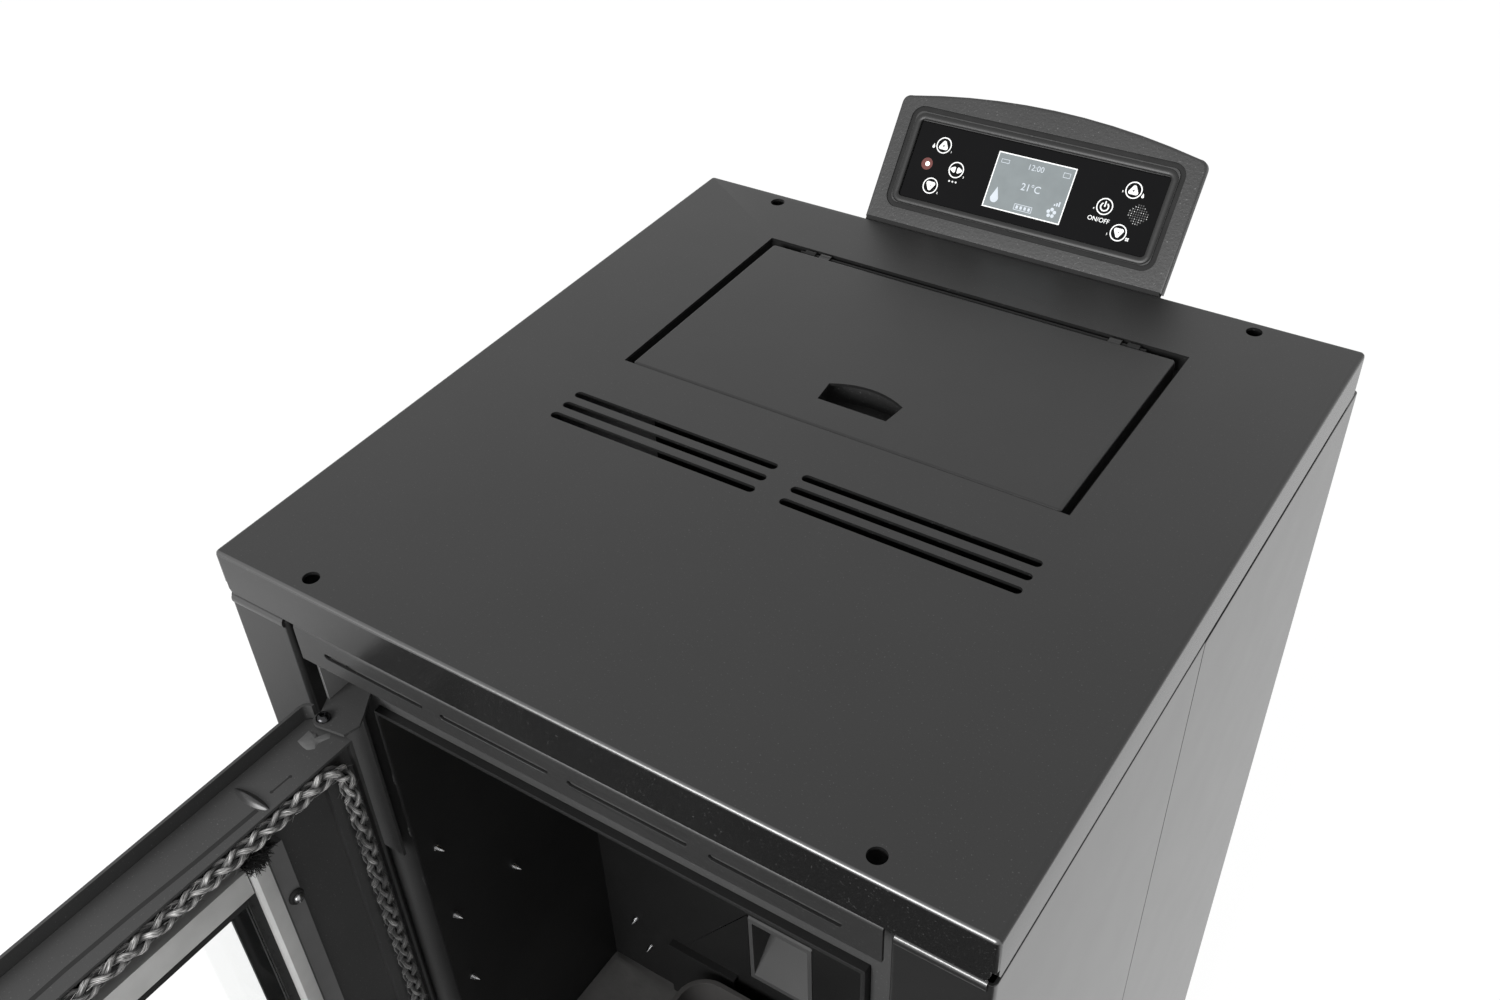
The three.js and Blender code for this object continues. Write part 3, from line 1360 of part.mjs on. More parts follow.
// The leaf over the frame: a plate round the pivot, carried by a web and a strap
function topHingeBracket() {
  const z0 = FRAME_TOP_Z + LEAF_GAP;
  const z1 = z0 + LEAF_T;
  const rear = FRONT_PLATE_Y - FIT;
  const leaf = new THREE.Shape();
  leaf.moveTo(WEB_X, rear);
  leaf.lineTo(WEB_X, FRONT_Y + SHEET);
  leaf.lineTo(PIVOT_X - HINGE_EAR_R * 0.9, PIVOT_Y + HINGE_EAR_R * 0.6);
  leaf.absarc(PIVOT_X, PIVOT_Y, HINGE_EAR_R, 0.85 * Math.PI, 1.5 * Math.PI, false);
  leaf.lineTo(PIVOT_X + LEAF_NOSE_X, PIVOT_Y + LEAF_NOSE_Y);
  leaf.lineTo(PIVOT_X + LEAF_TIP_X, PIVOT_Y + LEAF_TIP_Y);
  leaf.lineTo(PIVOT_X + LEAF_SHOULDER_X, PIVOT_Y + LEAF_SHOULDER_Y);
  leaf.lineTo(PIVOT_X + LEAF_NECK_X, PIVOT_Y + LEAF_NECK_Y);
  leaf.lineTo(PIVOT_X + LEAF_NECK_X, rear);
  const hole = circle(PIVOT_X, PIVOT_Y, PIVOT_HOLE_D / 2);
  return carve(
    join(
      alongZ(leaf, z0, z1, 8),
      box(WEB_X, WEB_X + LEAF_T, FRONT_Y + SHEET, rear, z0, z0 + WEB_H),
      box(WEB_X, WEB_X + LEAF_T, STRAP_Y, rear, z0 - STRAP_H, z1),
      box(LEFT_RETURN_X + FIT, STRAP_RIGHT_X, STRAP_Y, STRAP_Y + LEAF_T, z0 - STRAP_H, z1),
    ),
    alongZ(hole, z0 - CUT, z1 + CUT, 16),
  );
}

function bottomHingeBracket() {
  const middle = (FRAME_TOP_Z + FRAME_BOTTOM_Z) / 2;
  return topHingeBracket().translate([0, 0, -middle]).mirror([0, 0, 1]).translate([0, 0, middle]);
}

function pivotScrew() {
  const face = FRAME_TOP_Z + LEAF_GAP + LEAF_T + FIT;
  const head = PIVOT_HEAD_D / 2;
  const profile = [
    [0, face - PIVOT_DEPTH],
    [PIVOT_SHANK_D / 2, face - PIVOT_DEPTH],
    [PIVOT_SHANK_D / 2, face],
    [head, face],
    [head * 0.9, face + PIVOT_HEAD_H * 0.5],
    [head * 0.55, face + PIVOT_HEAD_H * 0.9],
    [0, face + PIVOT_HEAD_H],
  ];
  return turned(profile, 16).translate([PIVOT_X, PIVOT_Y, 0]);
}

function bottomPivotScrew() {
  const middle = (FRAME_TOP_Z + FRAME_BOTTOM_Z) / 2;
  return pivotScrew().translate([0, 0, -middle]).mirror([0, 0, 1]).translate([0, 0, middle]);
}

// The keeper stands on the front plate beside the collar. The latch arm turns up behind its tab.
function latchKeeper() {
  const x = PIVOT_X + HANDLE_X;
  const latchFront = PIVOT_Y + LATCH_Y;
  const tabY = latchFront - KEEPER_GAP - KEEPER_T;
  const rear = FRONT_PLATE_Y - FIT;
  const bottom = HANDLE_Z + HANDLE_SHAFT_D / 2 + KEEPER_GAP;
  const top = bottom + KEEPER_H;
  return join(
    box(x - KEEPER_W / 2, x + KEEPER_W / 2, tabY, tabY + KEEPER_T, bottom, top),
    box(x - KEEPER_W / 2, x + KEEPER_W / 2, tabY, rear, top - KEEPER_T, top),
  );
}

// ---------------------------------------------------------------- fire door, in its own frame
// The pivot is the origin, +X runs along the closed door and +Y into the stove; z stays as it is.

const FRAME_END = FRAME_START + DOOR_W;
const ROPE_LEFT = FIREBOX_LEFT + FIREBOX_WALL / 2 - PIVOT_X;
const ROPE_RIGHT = FIREBOX_RIGHT - FIREBOX_WALL / 2 - PIVOT_X;
const ROPE_TOP = FIREBOX_TOP_Z - FIREBOX_WALL / 2;
const ROPE_BOTTOM = FIREBOX_BOTTOM_Z + FIREBOX_WALL / 2;
const WINDOW_TOP = FRAME_TOP_Z - WINDOW_TOP_GAP;
const WINDOW_BOTTOM = WINDOW_TOP - WINDOW_H;
const WINDOW_END = WINDOW_X + WINDOW_W;
const GLASS_Y = FRAME_PLATE_Y + FRAME_SHEET + FIT;
const RETAINER_Y = GLASS_Y + GLASS_T + SEAL_T + FIT;

function doorFrame() {
  const t = FRAME_SHEET;
  const front = -DOOR_FACE + SHEET + FIT;
  const seatY = ROPE_Y - ROPE_D / 2 - FIT;
  const plateEnd = FRAME_PLATE_Y + t;
  const chamfer = SKIN_BEND_R - SHEET - FIT; // inside the skin's bends
  const plan = outline([
    [FRAME_START, front + chamfer],
    [FRAME_START + chamfer, front],
    [FRAME_END - chamfer, front],
    [FRAME_END, front + chamfer],
    [FRAME_END, FRAME_DEPTH],
    [FRAME_START, FRAME_DEPTH],
  ]);
  const rim = carve(
    alongZ(plan, FRAME_BOTTOM_Z, FRAME_TOP_Z),
    box(
      FRAME_START + t,
      FRAME_END - t,
      front - CUT,
      FRAME_DEPTH + CUT,
      FRAME_BOTTOM_Z + t,
      FRAME_TOP_Z - t,
    ),
  );
  const plate = box(
    FRAME_START + t / 2,
    FRAME_END - t / 2,
    FRAME_PLATE_Y,
    plateEnd,
    FRAME_BOTTOM_Z + t / 2,
    FRAME_TOP_Z - t / 2,
  );
  const seat = carve(
    box(
      FRAME_START + t / 2,
      FRAME_END - t / 2,
      plateEnd - t / 2,
      seatY,
      FRAME_BOTTOM_Z + t / 2,
      FRAME_TOP_Z - t / 2,
    ),
    box(
      ROPE_LEFT + ROPE_CHANNEL_W / 2,
      ROPE_RIGHT - ROPE_CHANNEL_W / 2,
      plateEnd,
      seatY + CUT,
      ROPE_BOTTOM + ROPE_CHANNEL_W / 2,
      ROPE_TOP - ROPE_CHANNEL_W / 2,
    ),
  );
  const ears = [];
  for (const z of [FRAME_TOP_Z - t, FRAME_BOTTOM_Z]) {
    ears.push(alongZ(circle(0, 0, HINGE_EAR_R), z, z + t, 16));
  }
  const hinge = circle(0, 0, PIVOT_HOLE_D / 2);
  const shaft = circle(HANDLE_X, HANDLE_Z, HANDLE_SHAFT_D / 2 + HANDLE_SHAFT_CLEARANCE);
  return carve(
    join(rim, plate, seat, ...ears),
    box(WINDOW_X, WINDOW_END, plateEnd - 2 * t, plateEnd + CUT, WINDOW_BOTTOM, WINDOW_TOP),
    alongZ(hinge, FRAME_TOP_Z - t - PIVOT_DEPTH, FRAME_TOP_Z + CUT, 16),
    alongZ(hinge, FRAME_BOTTOM_Z - CUT, FRAME_BOTTOM_Z + t + PIVOT_DEPTH, 16),
    alongY(shaft, FRAME_PLATE_Y - CUT, seatY + CUT, 10),
  );
}

function doorSkin() {
  const start = FRAME_START - FIT - SHEET;
  const end = FRAME_END + FIT + SHEET;
  const path = [
    [start, -DOOR_FACE + SKIN_RETURN],
    [start, -DOOR_FACE],
    [end, -DOOR_FACE],
    [end, -DOOR_FACE + SKIN_RETURN],
  ];
  const sheet = bentSheet(path.reverse(), SHEET, SKIN_BEND_R);
  const shell = alongZ(sheet, FRAME_BOTTOM_Z - SKIN_PROUD_Z, FRAME_TOP_Z + SKIN_PROUD_Z);
  const shaft = circle(HANDLE_X, HANDLE_Z, HANDLE_SHAFT_D / 2 + HANDLE_SHAFT_CLEARANCE);
  return carve(
    shell,
    box(WINDOW_X, WINDOW_END, -DOOR_FACE - CUT, -DOOR_FACE + SHEET + CUT, WINDOW_BOTTOM, WINDOW_TOP),
    alongY(shaft, -DOOR_FACE - CUT, -DOOR_FACE + SHEET + CUT, 10),
  );
}

// A rope seal laid in one closed loop over the collar's line
function doorRope() {
  const sides = 8;
  const cornerSteps = 4;
  const route = cornerPoints(
    roundRect(ROPE_LEFT, ROPE_RIGHT, ROPE_BOTTOM, ROPE_TOP, ROPE_CORNER_R),
    cornerSteps,
  );
  const section = (k) => {
    const [x, z] = route[k];
    const [px, pz] = route[(k + route.length - 1) % route.length];
    const [nx, nz] = route[(k + 1) % route.length];
    const along = new THREE.Vector2(nx - px, nz - pz).normalize();
    const ring = [];
    for (let s = 0; s < sides; s += 1) {
      const angle = (2 * Math.PI * s) / sides + Math.PI / sides;
      const out = (Math.cos(angle) * ROPE_D) / 2;
      const deep = (Math.sin(angle) * ROPE_D) / 2;
      ring.push([x + along.y * out, ROPE_Y + deep, z - along.x * out]);
    }
    return ring;
  };
  const positions = route.map((_, k) => section(k)).flat(2);
  const index = [];
  for (let k = 0; k < route.length; k += 1) {
    for (let s = 0; s < sides; s += 1) {
      const a = k * sides + s;
      const b = k * sides + ((s + 1) % sides);
      const next = ((k + 1) % route.length) * sides;
      index.push(a, b, next + s, b, next + ((s + 1) % sides), next + s);
    }
  }
  const geometry = new THREE.BufferGeometry();
  geometry.setAttribute('position', new THREE.Float32BufferAttribute(positions, 3));
  geometry.setIndex(index);
  return solid(geometry);
}

function doorGlass() {
  return box(
    WINDOW_X - GLASS_SIDE_LAP,
    WINDOW_END + GLASS_SIDE_LAP,
    GLASS_Y,
    GLASS_Y + GLASS_T,
    WINDOW_BOTTOM - GLASS_END_LAP,
    WINDOW_TOP + GLASS_END_LAP,
  );
}

// Strips over the glass, each with a foot on the frame beside the glass. Those at the sides
// have a raised lip along the window.
function sideRetainer(side) {
  const path = [
    [-RETAINER_OUT, RETAINER_Y + RETAINER_T],
    [-RETAINER_OUT + RETAINER_W, RETAINER_Y + RETAINER_T],
    [-RETAINER_OUT + RETAINER_W + RETAINER_LIP / 2, RETAINER_Y + RETAINER_T + RETAINER_LIP / 2],
  ];
  const z0 = WINDOW_BOTTOM - RETAINER_TOP_W;
  const z1 = WINDOW_TOP + RETAINER_TOP_W;
  const footY = RETAINER_Y + RETAINER_T / 2;
  const strip = join(
    alongZ(bentSheet(path, RETAINER_T, BEND_R), z0, z1),
    box(-RETAINER_OUT, -GLASS_SIDE_LAP - 2 * FIT, GLASS_Y, footY, z0, z1),
  );
  return side > 0
    ? strip.mirror([1, 0, 0]).translate([WINDOW_END, 0, 0])
    : strip.translate([WINDOW_X, 0, 0]);
}

function topRetainer() {
  const inset = RETAINER_OUT - RETAINER_W - RETAINER_LIP;
  const x0 = WINDOW_X - inset;
  const x1 = WINDOW_END + inset;
  const low = RETAINER_Y - SEAL_T;
  const footZ = WINDOW_TOP + GLASS_END_LAP + 2 * FIT;
  const end = WINDOW_TOP + RETAINER_TOP_W;
  return join(
    box(x0, x1, low, RETAINER_Y + RETAINER_T, WINDOW_TOP, end),
    box(x0, x1, GLASS_Y, low + SEAL_T, footZ, end),
  );
}

function bottomRetainer() {
  const middle = (WINDOW_TOP + WINDOW_BOTTOM) / 2;
  return topRetainer().translate([0, 0, -middle]).mirror([0, 0, 1]).translate([0, 0, middle]);
}

// The lever outside, its shaft through the door and the latch arm inside, which points the other
// way. It is drawn unlatched, with the lever level.
function doorHandle() {
  const shaftR = HANDLE_SHAFT_D / 2;
  const out = -DOOR_FACE - HANDLE_STANDOFF;
  const gripR = HANDLE_D / 2;
  const arm = box(-shaftR, LATCH_R, LATCH_Y, LATCH_Y + LATCH_T, -shaftR, shaftR);
  const grip = alongX(circle(out, 0, gripR), -HANDLE_L + gripR, gripR, 14);
  return join(
    alongY(circle(0, 0, shaftR), out, LATCH_Y + LATCH_T / 2, 10),
    arm,
    grip,
  );
}

// ---------------------------------------------------------------- ash drawer

function drawerFront() {
  const x0 = LEFT_RETURN_X + DRAWER_SIDE_GAP;
  const x1 = RIGHT_RETURN_X - DRAWER_SIDE_GAP;
  const pullZ = DRAWER_TOP_Z - DRAWER_FRONT_H / 3;
  const pull = box(
    (x0 + x1 - DRAWER_PULL_W) / 2,
    (x0 + x1 + DRAWER_PULL_W) / 2,
    FRONT_Y - DRAWER_PULL_D,
    FRONT_Y + SHEET / 2,
    pullZ - DRAWER_PULL_H / 2,
    pullZ + DRAWER_PULL_H / 2,
  );
  const plate = box(x0, x1, FRONT_Y, FRONT_Y + SHEET, DRAWER_BOTTOM_Z, DRAWER_TOP_Z);
  return join(plate, pull);
}

function drawerTray() {
  const inset = FIREBOX_WALL + TRAY_CLEARANCE;
  const bottom = ASH_ROOM_Z + FIREBOX_WALL + FIT;
  return hollowBox(
    [
      ASH_LEFT + inset,
      ASH_RIGHT - inset,
      FRONT_Y + SHEET + FIT,
      ASH_BACK - inset,
      bottom,
      bottom + TRAY_H,
    ],
    TRAY_WALL,
    '+z',
  );
}

// ---------------------------------------------------------------- control panel
// In its own frame the foot of its face is the origin, +Z runs up the face and +Y goes into it.

function bezelOutline(grow) {
  const half = BEZEL_W / 2 + grow;
  const r = BEZEL_CORNER_R;
  const top = BEZEL_SIDE_H + grow;
  const shape = new THREE.Shape();
  shape.moveTo(-half, -grow);
  shape.lineTo(half, -grow);
  shape.lineTo(half, top - r);
  shape.quadraticCurveTo(half, top, half - r, top);
  shape.quadraticCurveTo(0, 2 * (BEZEL_H + grow) - top, -half + r, top);
  shape.quadraticCurveTo(-half, top, -half, top - r);
  return shape;
}

function controlBezel() {
  const geometry = new THREE.ExtrudeGeometry(bezelOutline(-BEZEL_EDGE), {
    depth: BEZEL_T - 2 * BEZEL_EDGE,
    bevelThickness: BEZEL_EDGE,
    bevelSize: BEZEL_EDGE,
    bevelSegments: 2,
    curveSegments: 10,
  });
  const body = solid(geometry.rotateX(Math.PI / 2).translate(0, BEZEL_T - BEZEL_EDGE, 0));
  const ring = (grow, from, to) => alongY(
    roundRect(
      -RING_W / 2 - grow,
      RING_W / 2 + grow,
      RING_LOW - grow,
      RING_HIGH + grow,
      RING_R + grow,
    ),
    from,
    to,
  );
  const groove = carve(ring(0, -CUT, GROOVE_DEPTH), ring(-GROOVE_W, -2 * CUT, GROOVE_DEPTH + CUT));
  const halfW = GLASS_W / 2;
  const halfH = GLASS_H / 2;
  const pocketY = GLASS_SETBACK + PANEL_GLASS_T;
  const m = BOARD_MARGIN + FIT;
  return carve(
    body,
    groove,
    box(
      -halfW - FIT,
      halfW + FIT,
      -CUT,
      BEZEL_T + CUT,
      GLASS_MID - halfH - FIT,
      GLASS_MID + halfH + FIT,
    ),
    box(
      -halfW - m,
      halfW + m,
      pocketY,
      BEZEL_T + CUT,
      GLASS_MID - halfH - m,
      GLASS_MID + halfH + m,
    ),
  );
}

function controlGlass() {
  return box(
    -GLASS_W / 2,
    GLASS_W / 2,
    GLASS_SETBACK,
    GLASS_SETBACK + PANEL_GLASS_T,
    GLASS_MID - GLASS_H / 2,
    GLASS_MID + GLASS_H / 2,
  );
}

function controlBoard() {
  const front = GLASS_SETBACK + PANEL_GLASS_T + FIT;
  const halfW = GLASS_W / 2 + BOARD_MARGIN;
  const halfH = GLASS_H / 2 + BOARD_MARGIN;
  const board = [-halfW, halfW, front, front + BOARD_T, GLASS_MID - halfH, GLASS_MID + halfH];
  const display = [
    -DISPLAY_W / 2,
    DISPLAY_W / 2,
    front + BOARD_T / 2,
    front + BOARD_T + DISPLAY_T,
    GLASS_MID - DISPLAY_H / 2,
    GLASS_MID + DISPLAY_H / 2,
  ];
  return join(box(...board), box(...display));
}

function controlCover() {
  const half = BEZEL_W / 2 - COVER_MARGIN_X;
  const front = BEZEL_T + FIT;
  return hollowBox([-half, half, front, front + COVER_D, COVER_LOW, COVER_HIGH], COVER_WALL, '-y');
}

// A bent strip from the back panel up the back of the cover, in the stove's own frame
function controlBracket() {
  const lean = THREE.MathUtils.degToRad(PANEL_LEAN);
  const back = BEZEL_T + COVER_D + 2 * FIT;
  const onCover = (v) => [
    PANEL_Y + back * Math.cos(lean) + v * Math.sin(lean),
    CASE_H - back * Math.sin(lean) + v * Math.cos(lean),
  ];
  const wallY = BACK_Y - 2 * SHEET - FIT;
  const footZ = CASE_H - BRACKET_FOOT_BELOW;
  const kneeZ = CASE_H - BRACKET_KNEE_BELOW;
  const knee = (kneeZ - onCover(0)[1]) / Math.cos(lean);
  const path = [
    [wallY, footZ],
    [wallY, kneeZ],
    onCover(knee),
    onCover(BRACKET_RUN),
  ];
  return alongX(bentSheet(path, SHEET, SHEET / 2), -BRACKET_W / 2, BRACKET_W / 2);
}

// ---------------------------------------------------------------- electrical parts

const SWITCH_Z = INLET_Z + INLET_H - INLET_LIP - 3 - SWITCH_H / 2;
const SOCKET_Z = INLET_Z + INLET_LIP + 3 + SOCKET_H / 2;

function powerInlet() {
  const x0 = INLET_X - INLET_W / 2;
  const x1 = INLET_X + INLET_W / 2;
  const lip = INLET_LIP;
  const face = BACK_Y + FIT;
  const rear = face + INLET_FLANGE;
  const front = BACK_Y - INLET_BODY;
  const whole = join(
    box(x0, x1, face, rear, INLET_Z, INLET_Z + INLET_H),
    box(x0 + lip, x1 - lip, front, face + CUT, INLET_Z + lip, INLET_Z + INLET_H - lip),
  );
  const socket = roundRect(
    INLET_X - SOCKET_W / 2,
    INLET_X + SOCKET_W / 2,
    SOCKET_Z - SOCKET_H / 2,
    SOCKET_Z + SOCKET_H / 2,
    3,
  );
  const carved = carve(
    whole,
    alongY(socket, rear - SOCKET_DEPTH, rear + CUT),
    box(
      INLET_X - SWITCH_W / 2,
      INLET_X + SWITCH_W / 2,
      front - CUT,
      rear + CUT,
      SWITCH_Z - SWITCH_H / 2,
      SWITCH_Z + SWITCH_H / 2,
    ),
  );
  const pins = [-7, 0, 7].map((dx) => {
    const z = SOCKET_Z + (dx === 0 ? 2 : -2);
    const x = INLET_X + dx;
    return box(x - 1, x + 1, rear - SOCKET_DEPTH - CUT, rear - 3, z - 2, z + 2);
  });
  return join(carved, ...pins);
}

// In the switch's own frame: the rocker turns about the X axis
function rocker() {
  const half = SWITCH_H / 2 - 2;
  const width = SWITCH_W / 2 - ROCKER_CLEARANCE;
  const profile = outline([
    [-5, -half],
    [5, -half],
    [3.6, 0],
    [5, half],
    [-5, half],
  ]);
  return alongX(profile, -width, width);
}

function mainBoard() {
  const wall = HALF_W - SHEET - FIT;
  const face = wall - MAIN_BOARD_POST;
  const y1 = MAIN_BOARD_Y + MAIN_BOARD_W;
  const z1 = MAIN_BOARD_Z + MAIN_BOARD_H;
  const solids = [box(face - BOARD_T, face, MAIN_BOARD_Y, y1, MAIN_BOARD_Z, z1)];
  const inset = MAIN_BOARD_INSET;
  const post = POST_W / 2;
  for (const y of [MAIN_BOARD_Y + inset, y1 - inset]) {
    for (const z of [MAIN_BOARD_Z + inset, z1 - inset]) {
      solids.push(box(face - BOARD_T / 2, wall, y - post, y + post, z - post, z + post));
    }
  }
  const front = face - BOARD_T / 2;
  const rear = y1 - TRANSFORMER_INSET;
  const low = MAIN_BOARD_Z + TRANSFORMER_INSET;
  const transformer = [
    front - TRANSFORMER_T,
    front,
    rear - TRANSFORMER_W,
    rear,
    low,
    low + TRANSFORMER_H,
  ];
  const relayY = MAIN_BOARD_Y + TRANSFORMER_INSET;
  const relays = [];
  for (let k = 0; k < RELAYS; k += 1) {
    const z = MAIN_BOARD_Z + RELAY_UP + k * RELAY_PITCH;
    relays.push(box(front - RELAY_T, front, relayY, relayY + RELAY_W, z, z + RELAY_H));
  }
  return join(...solids, box(...transformer), ...relays);
}

// ---------------------------------------------------------------- assembly

const stove = new THREE.Group();

add(stove, 'base_plate', 'black_paint', basePlate());
add(stove, 'front_left_foot', 'black_plastic', foot(-FOOT_X, FOOT_FRONT_Y));
add(stove, 'front_right_foot', 'black_plastic', foot(FOOT_X, FOOT_FRONT_Y));
add(stove, 'rear_left_foot', 'black_plastic', foot(-FOOT_X, FOOT_REAR_Y));
add(stove, 'rear_right_foot', 'black_plastic', foot(FOOT_X, FOOT_REAR_Y));
add(stove, 'left_front_panel', 'black_paint', frontPanel(-1, LEFT_COLUMN_W));
add(stove, 'right_front_panel', 'black_paint', frontPanel(1, RIGHT_COLUMN_W));
add(stove, 'left_rear_panel', 'black_paint', rearPanel(-1));
add(stove, 'right_rear_panel', 'black_paint', rearPanel(1));
add(stove, 'back_panel', 'black_paint', backPanel());
add(stove, 'front_plate', 'stove_paint', frontPlate());
add(stove, 'lower_front_panel', 'black_paint', lowerFrontPanel());
add(stove, 'top_plate', 'black_paint', topPlate());
add(stove, 'front_rail', 'black_paint', frontRail());
add(stove, 'hopper', 'zinc_sheet', hopper());
add(stove, 'lid_hinge_pin', 'steel_screw', lidHingePin());
add(stove, 'firebox', 'stove_paint', firebox());
add(stove, 'flame_baffle', 'vermiculite', flameBaffle());
add(stove, 'burn_pot', 'cast_iron', burnPot());
add(stove, 'igniter', 'motor_steel', igniter());
add(stove, 'pellet_chute', 'zinc_sheet', pelletChute());
add(stove, 'auger_tube', 'zinc_sheet', augerTubeLower());
add(stove, 'auger_tube_head', 'zinc_sheet', augerTubeUpper());
add(stove, 'smoke_duct', 'zinc_sheet', smokeDuct());
add(stove, 'exhaust_fan_housing', 'zinc_sheet', exhaustFanHousing());
add(stove, 'flue_outlet', 'zinc_sheet', flueOutlet());
add(stove, 'air_intake', 'zinc_sheet', airIntake());
add(stove, 'convection_fan_housing', 'zinc_sheet', convectionFanHousing());
add(stove, 'top_hinge_bracket', 'stove_paint', topHingeBracket());
add(stove, 'bottom_hinge_bracket', 'stove_paint', bottomHingeBracket());
add(stove, 'top_pivot_screw', 'steel_screw', pivotScrew());
add(stove, 'bottom_pivot_screw', 'steel_screw', bottomPivotScrew());
add(stove, 'latch_keeper', 'zinc_sheet', latchKeeper());
add(stove, 'control_bracket', 'black_paint', controlBracket());
add(stove, 'power_inlet', 'black_plastic', powerInlet());
add(stove, 'main_board', 'green_board', mainBoard());
add(stove, 'ash_drawer_front', 'black_paint', drawerFront());
add(stove, 'ash_drawer_tray', 'zinc_sheet', drawerTray());

const exhaustImpeller = impeller({
  x0: EXHAUST_LEFT_X + FAN_WALL + IMPELLER_GAP,
  width: EXHAUST_W / 2,
  y: EXHAUST_Y,
  z: EXHAUST_Z,
  radius: EXHAUST_R - FAN_WALL - IMPELLER_GAP,
  blades: EXHAUST_BLADES,
  shaftEnd: EXHAUST_LEFT_X - FAN_MOTOR_BORE + CUT,
});
add(stove, 'exhaust_impeller', 'motor_steel', exhaustImpeller);
const exhaustMotorX = EXHAUST_LEFT_X - FIT;
const exhaustMotor = fanMotor(
  exhaustMotorX - FAN_MOTOR_L,
  exhaustMotorX,
  EXHAUST_Y,
  EXHAUST_Z,
  'right',
);
add(stove, 'exhaust_motor', 'motor_steel', exhaustMotor);

const blowerEnd = BLOWER_X + BLOWER_W;
const blowerWheelW = BLOWER_W - 2 * (FAN_WALL + IMPELLER_GAP);
const blowerWheel = impeller({
  x0: BLOWER_X + FAN_WALL + IMPELLER_GAP,
  width: blowerWheelW,
  y: BLOWER_Y,
  z: BLOWER_Z,
  radius: BLOWER_R - FAN_WALL - IMPELLER_GAP,
  blades: BLOWER_BLADES,
  shaftEnd: blowerEnd + FAN_MOTOR_BORE - CUT,
});
add(stove, 'convection_impeller', 'motor_steel', blowerWheel);
const blowerMotor = fanMotor(
  blowerEnd + FIT,
  blowerEnd + FIT + FAN_MOTOR_L,
  BLOWER_Y,
  BLOWER_Z,
  'left',
);
add(stove, 'convection_motor', 'motor_steel', blowerMotor);

const auger = new THREE.Group();
auger.position.set(POT_X, AUGER_FOOT_Y, AUGER_FOOT_Z);
auger.rotation.x = THREE.MathUtils.degToRad(AUGER_TILT);
add(auger, 'auger_screw', 'motor_steel', augerScrew());
add(auger, 'auger_motor', 'motor_steel', augerMotor());
stove.add(auger);

const lid = new THREE.Group();
lid.position.set(0, LID_AXIS_Y, LID_AXIS_Z);
add(lid, 'hopper_lid', 'black_paint', hopperLid());
add(lid, 'finger_cup', 'black_plastic', fingerCup());
stove.add(lid);

const door = new THREE.Group();
door.position.set(PIVOT_X, PIVOT_Y, 0);
door.rotation.z = -THREE.MathUtils.degToRad(DOOR_OPEN_DEG);
add(door, 'door_frame', 'stove_paint', doorFrame());
add(door, 'door_skin', 'black_paint', doorSkin());
add(door, 'door_rope', 'rope', doorRope());
add(door, 'door_glass', 'clear_glass', doorGlass());
add(door, 'left_glass_retainer', 'zinc_sheet', sideRetainer(-1));
add(door, 'right_glass_retainer', 'zinc_sheet', sideRetainer(1));
add(door, 'top_glass_retainer', 'zinc_sheet', topRetainer());
add(door, 'bottom_glass_retainer', 'zinc_sheet', bottomRetainer());
const handle = new THREE.Group();
handle.position.set(HANDLE_X, 0, HANDLE_Z);
add(handle, 'door_handle', 'steel_screw', doorHandle());
door.add(handle);
stove.add(door);

const panel = new THREE.Group();
panel.position.set(0, PANEL_Y, CASE_H);
panel.rotation.x = -THREE.MathUtils.degToRad(PANEL_LEAN);
add(panel, 'control_bezel', 'black_plastic', controlBezel());
add(panel, 'control_glass', 'black_glass', controlGlass());
add(panel, 'control_board', 'green_board', controlBoard());
add(panel, 'control_cover', 'black_plastic', controlCover());
stove.add(panel);

const powerSwitch = new THREE.Group();
powerSwitch.position.set(INLET_X, BACK_Y - 1, SWITCH_Z);
powerSwitch.rotation.x = -THREE.MathUtils.degToRad(ROCKER_TILT);
add(powerSwitch, 'rocker_switch', 'black_plastic', rocker());
stove.add(powerSwitch);

export default stove;
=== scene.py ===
"""Looks of the pellet stove: finishes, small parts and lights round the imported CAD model.

Pieces are drawn in millimetres; lights, floor and shaders use metres. The door's pieces have u
along the closed door, d into the stove and z up; the panel's have x along it and v up its face.
"""

import json
import math
import random

import bpy
from mathutils import Matrix, Vector


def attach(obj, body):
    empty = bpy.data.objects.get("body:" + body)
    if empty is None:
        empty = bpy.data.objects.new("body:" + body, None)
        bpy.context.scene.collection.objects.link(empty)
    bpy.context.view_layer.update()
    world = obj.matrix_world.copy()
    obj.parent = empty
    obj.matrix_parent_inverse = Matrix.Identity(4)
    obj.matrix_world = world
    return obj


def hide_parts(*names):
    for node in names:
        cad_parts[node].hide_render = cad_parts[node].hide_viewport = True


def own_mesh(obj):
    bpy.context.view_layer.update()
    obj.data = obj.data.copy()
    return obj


MM = 0.001
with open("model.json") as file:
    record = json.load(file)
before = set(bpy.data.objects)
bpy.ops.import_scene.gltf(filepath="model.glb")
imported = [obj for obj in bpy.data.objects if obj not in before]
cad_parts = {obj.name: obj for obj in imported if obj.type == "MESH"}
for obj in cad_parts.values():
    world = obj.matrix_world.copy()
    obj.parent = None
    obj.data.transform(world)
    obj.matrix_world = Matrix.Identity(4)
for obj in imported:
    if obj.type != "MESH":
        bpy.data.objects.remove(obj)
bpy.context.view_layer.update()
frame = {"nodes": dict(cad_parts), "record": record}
nodes = frame["nodes"]

# ---- frames of the groups

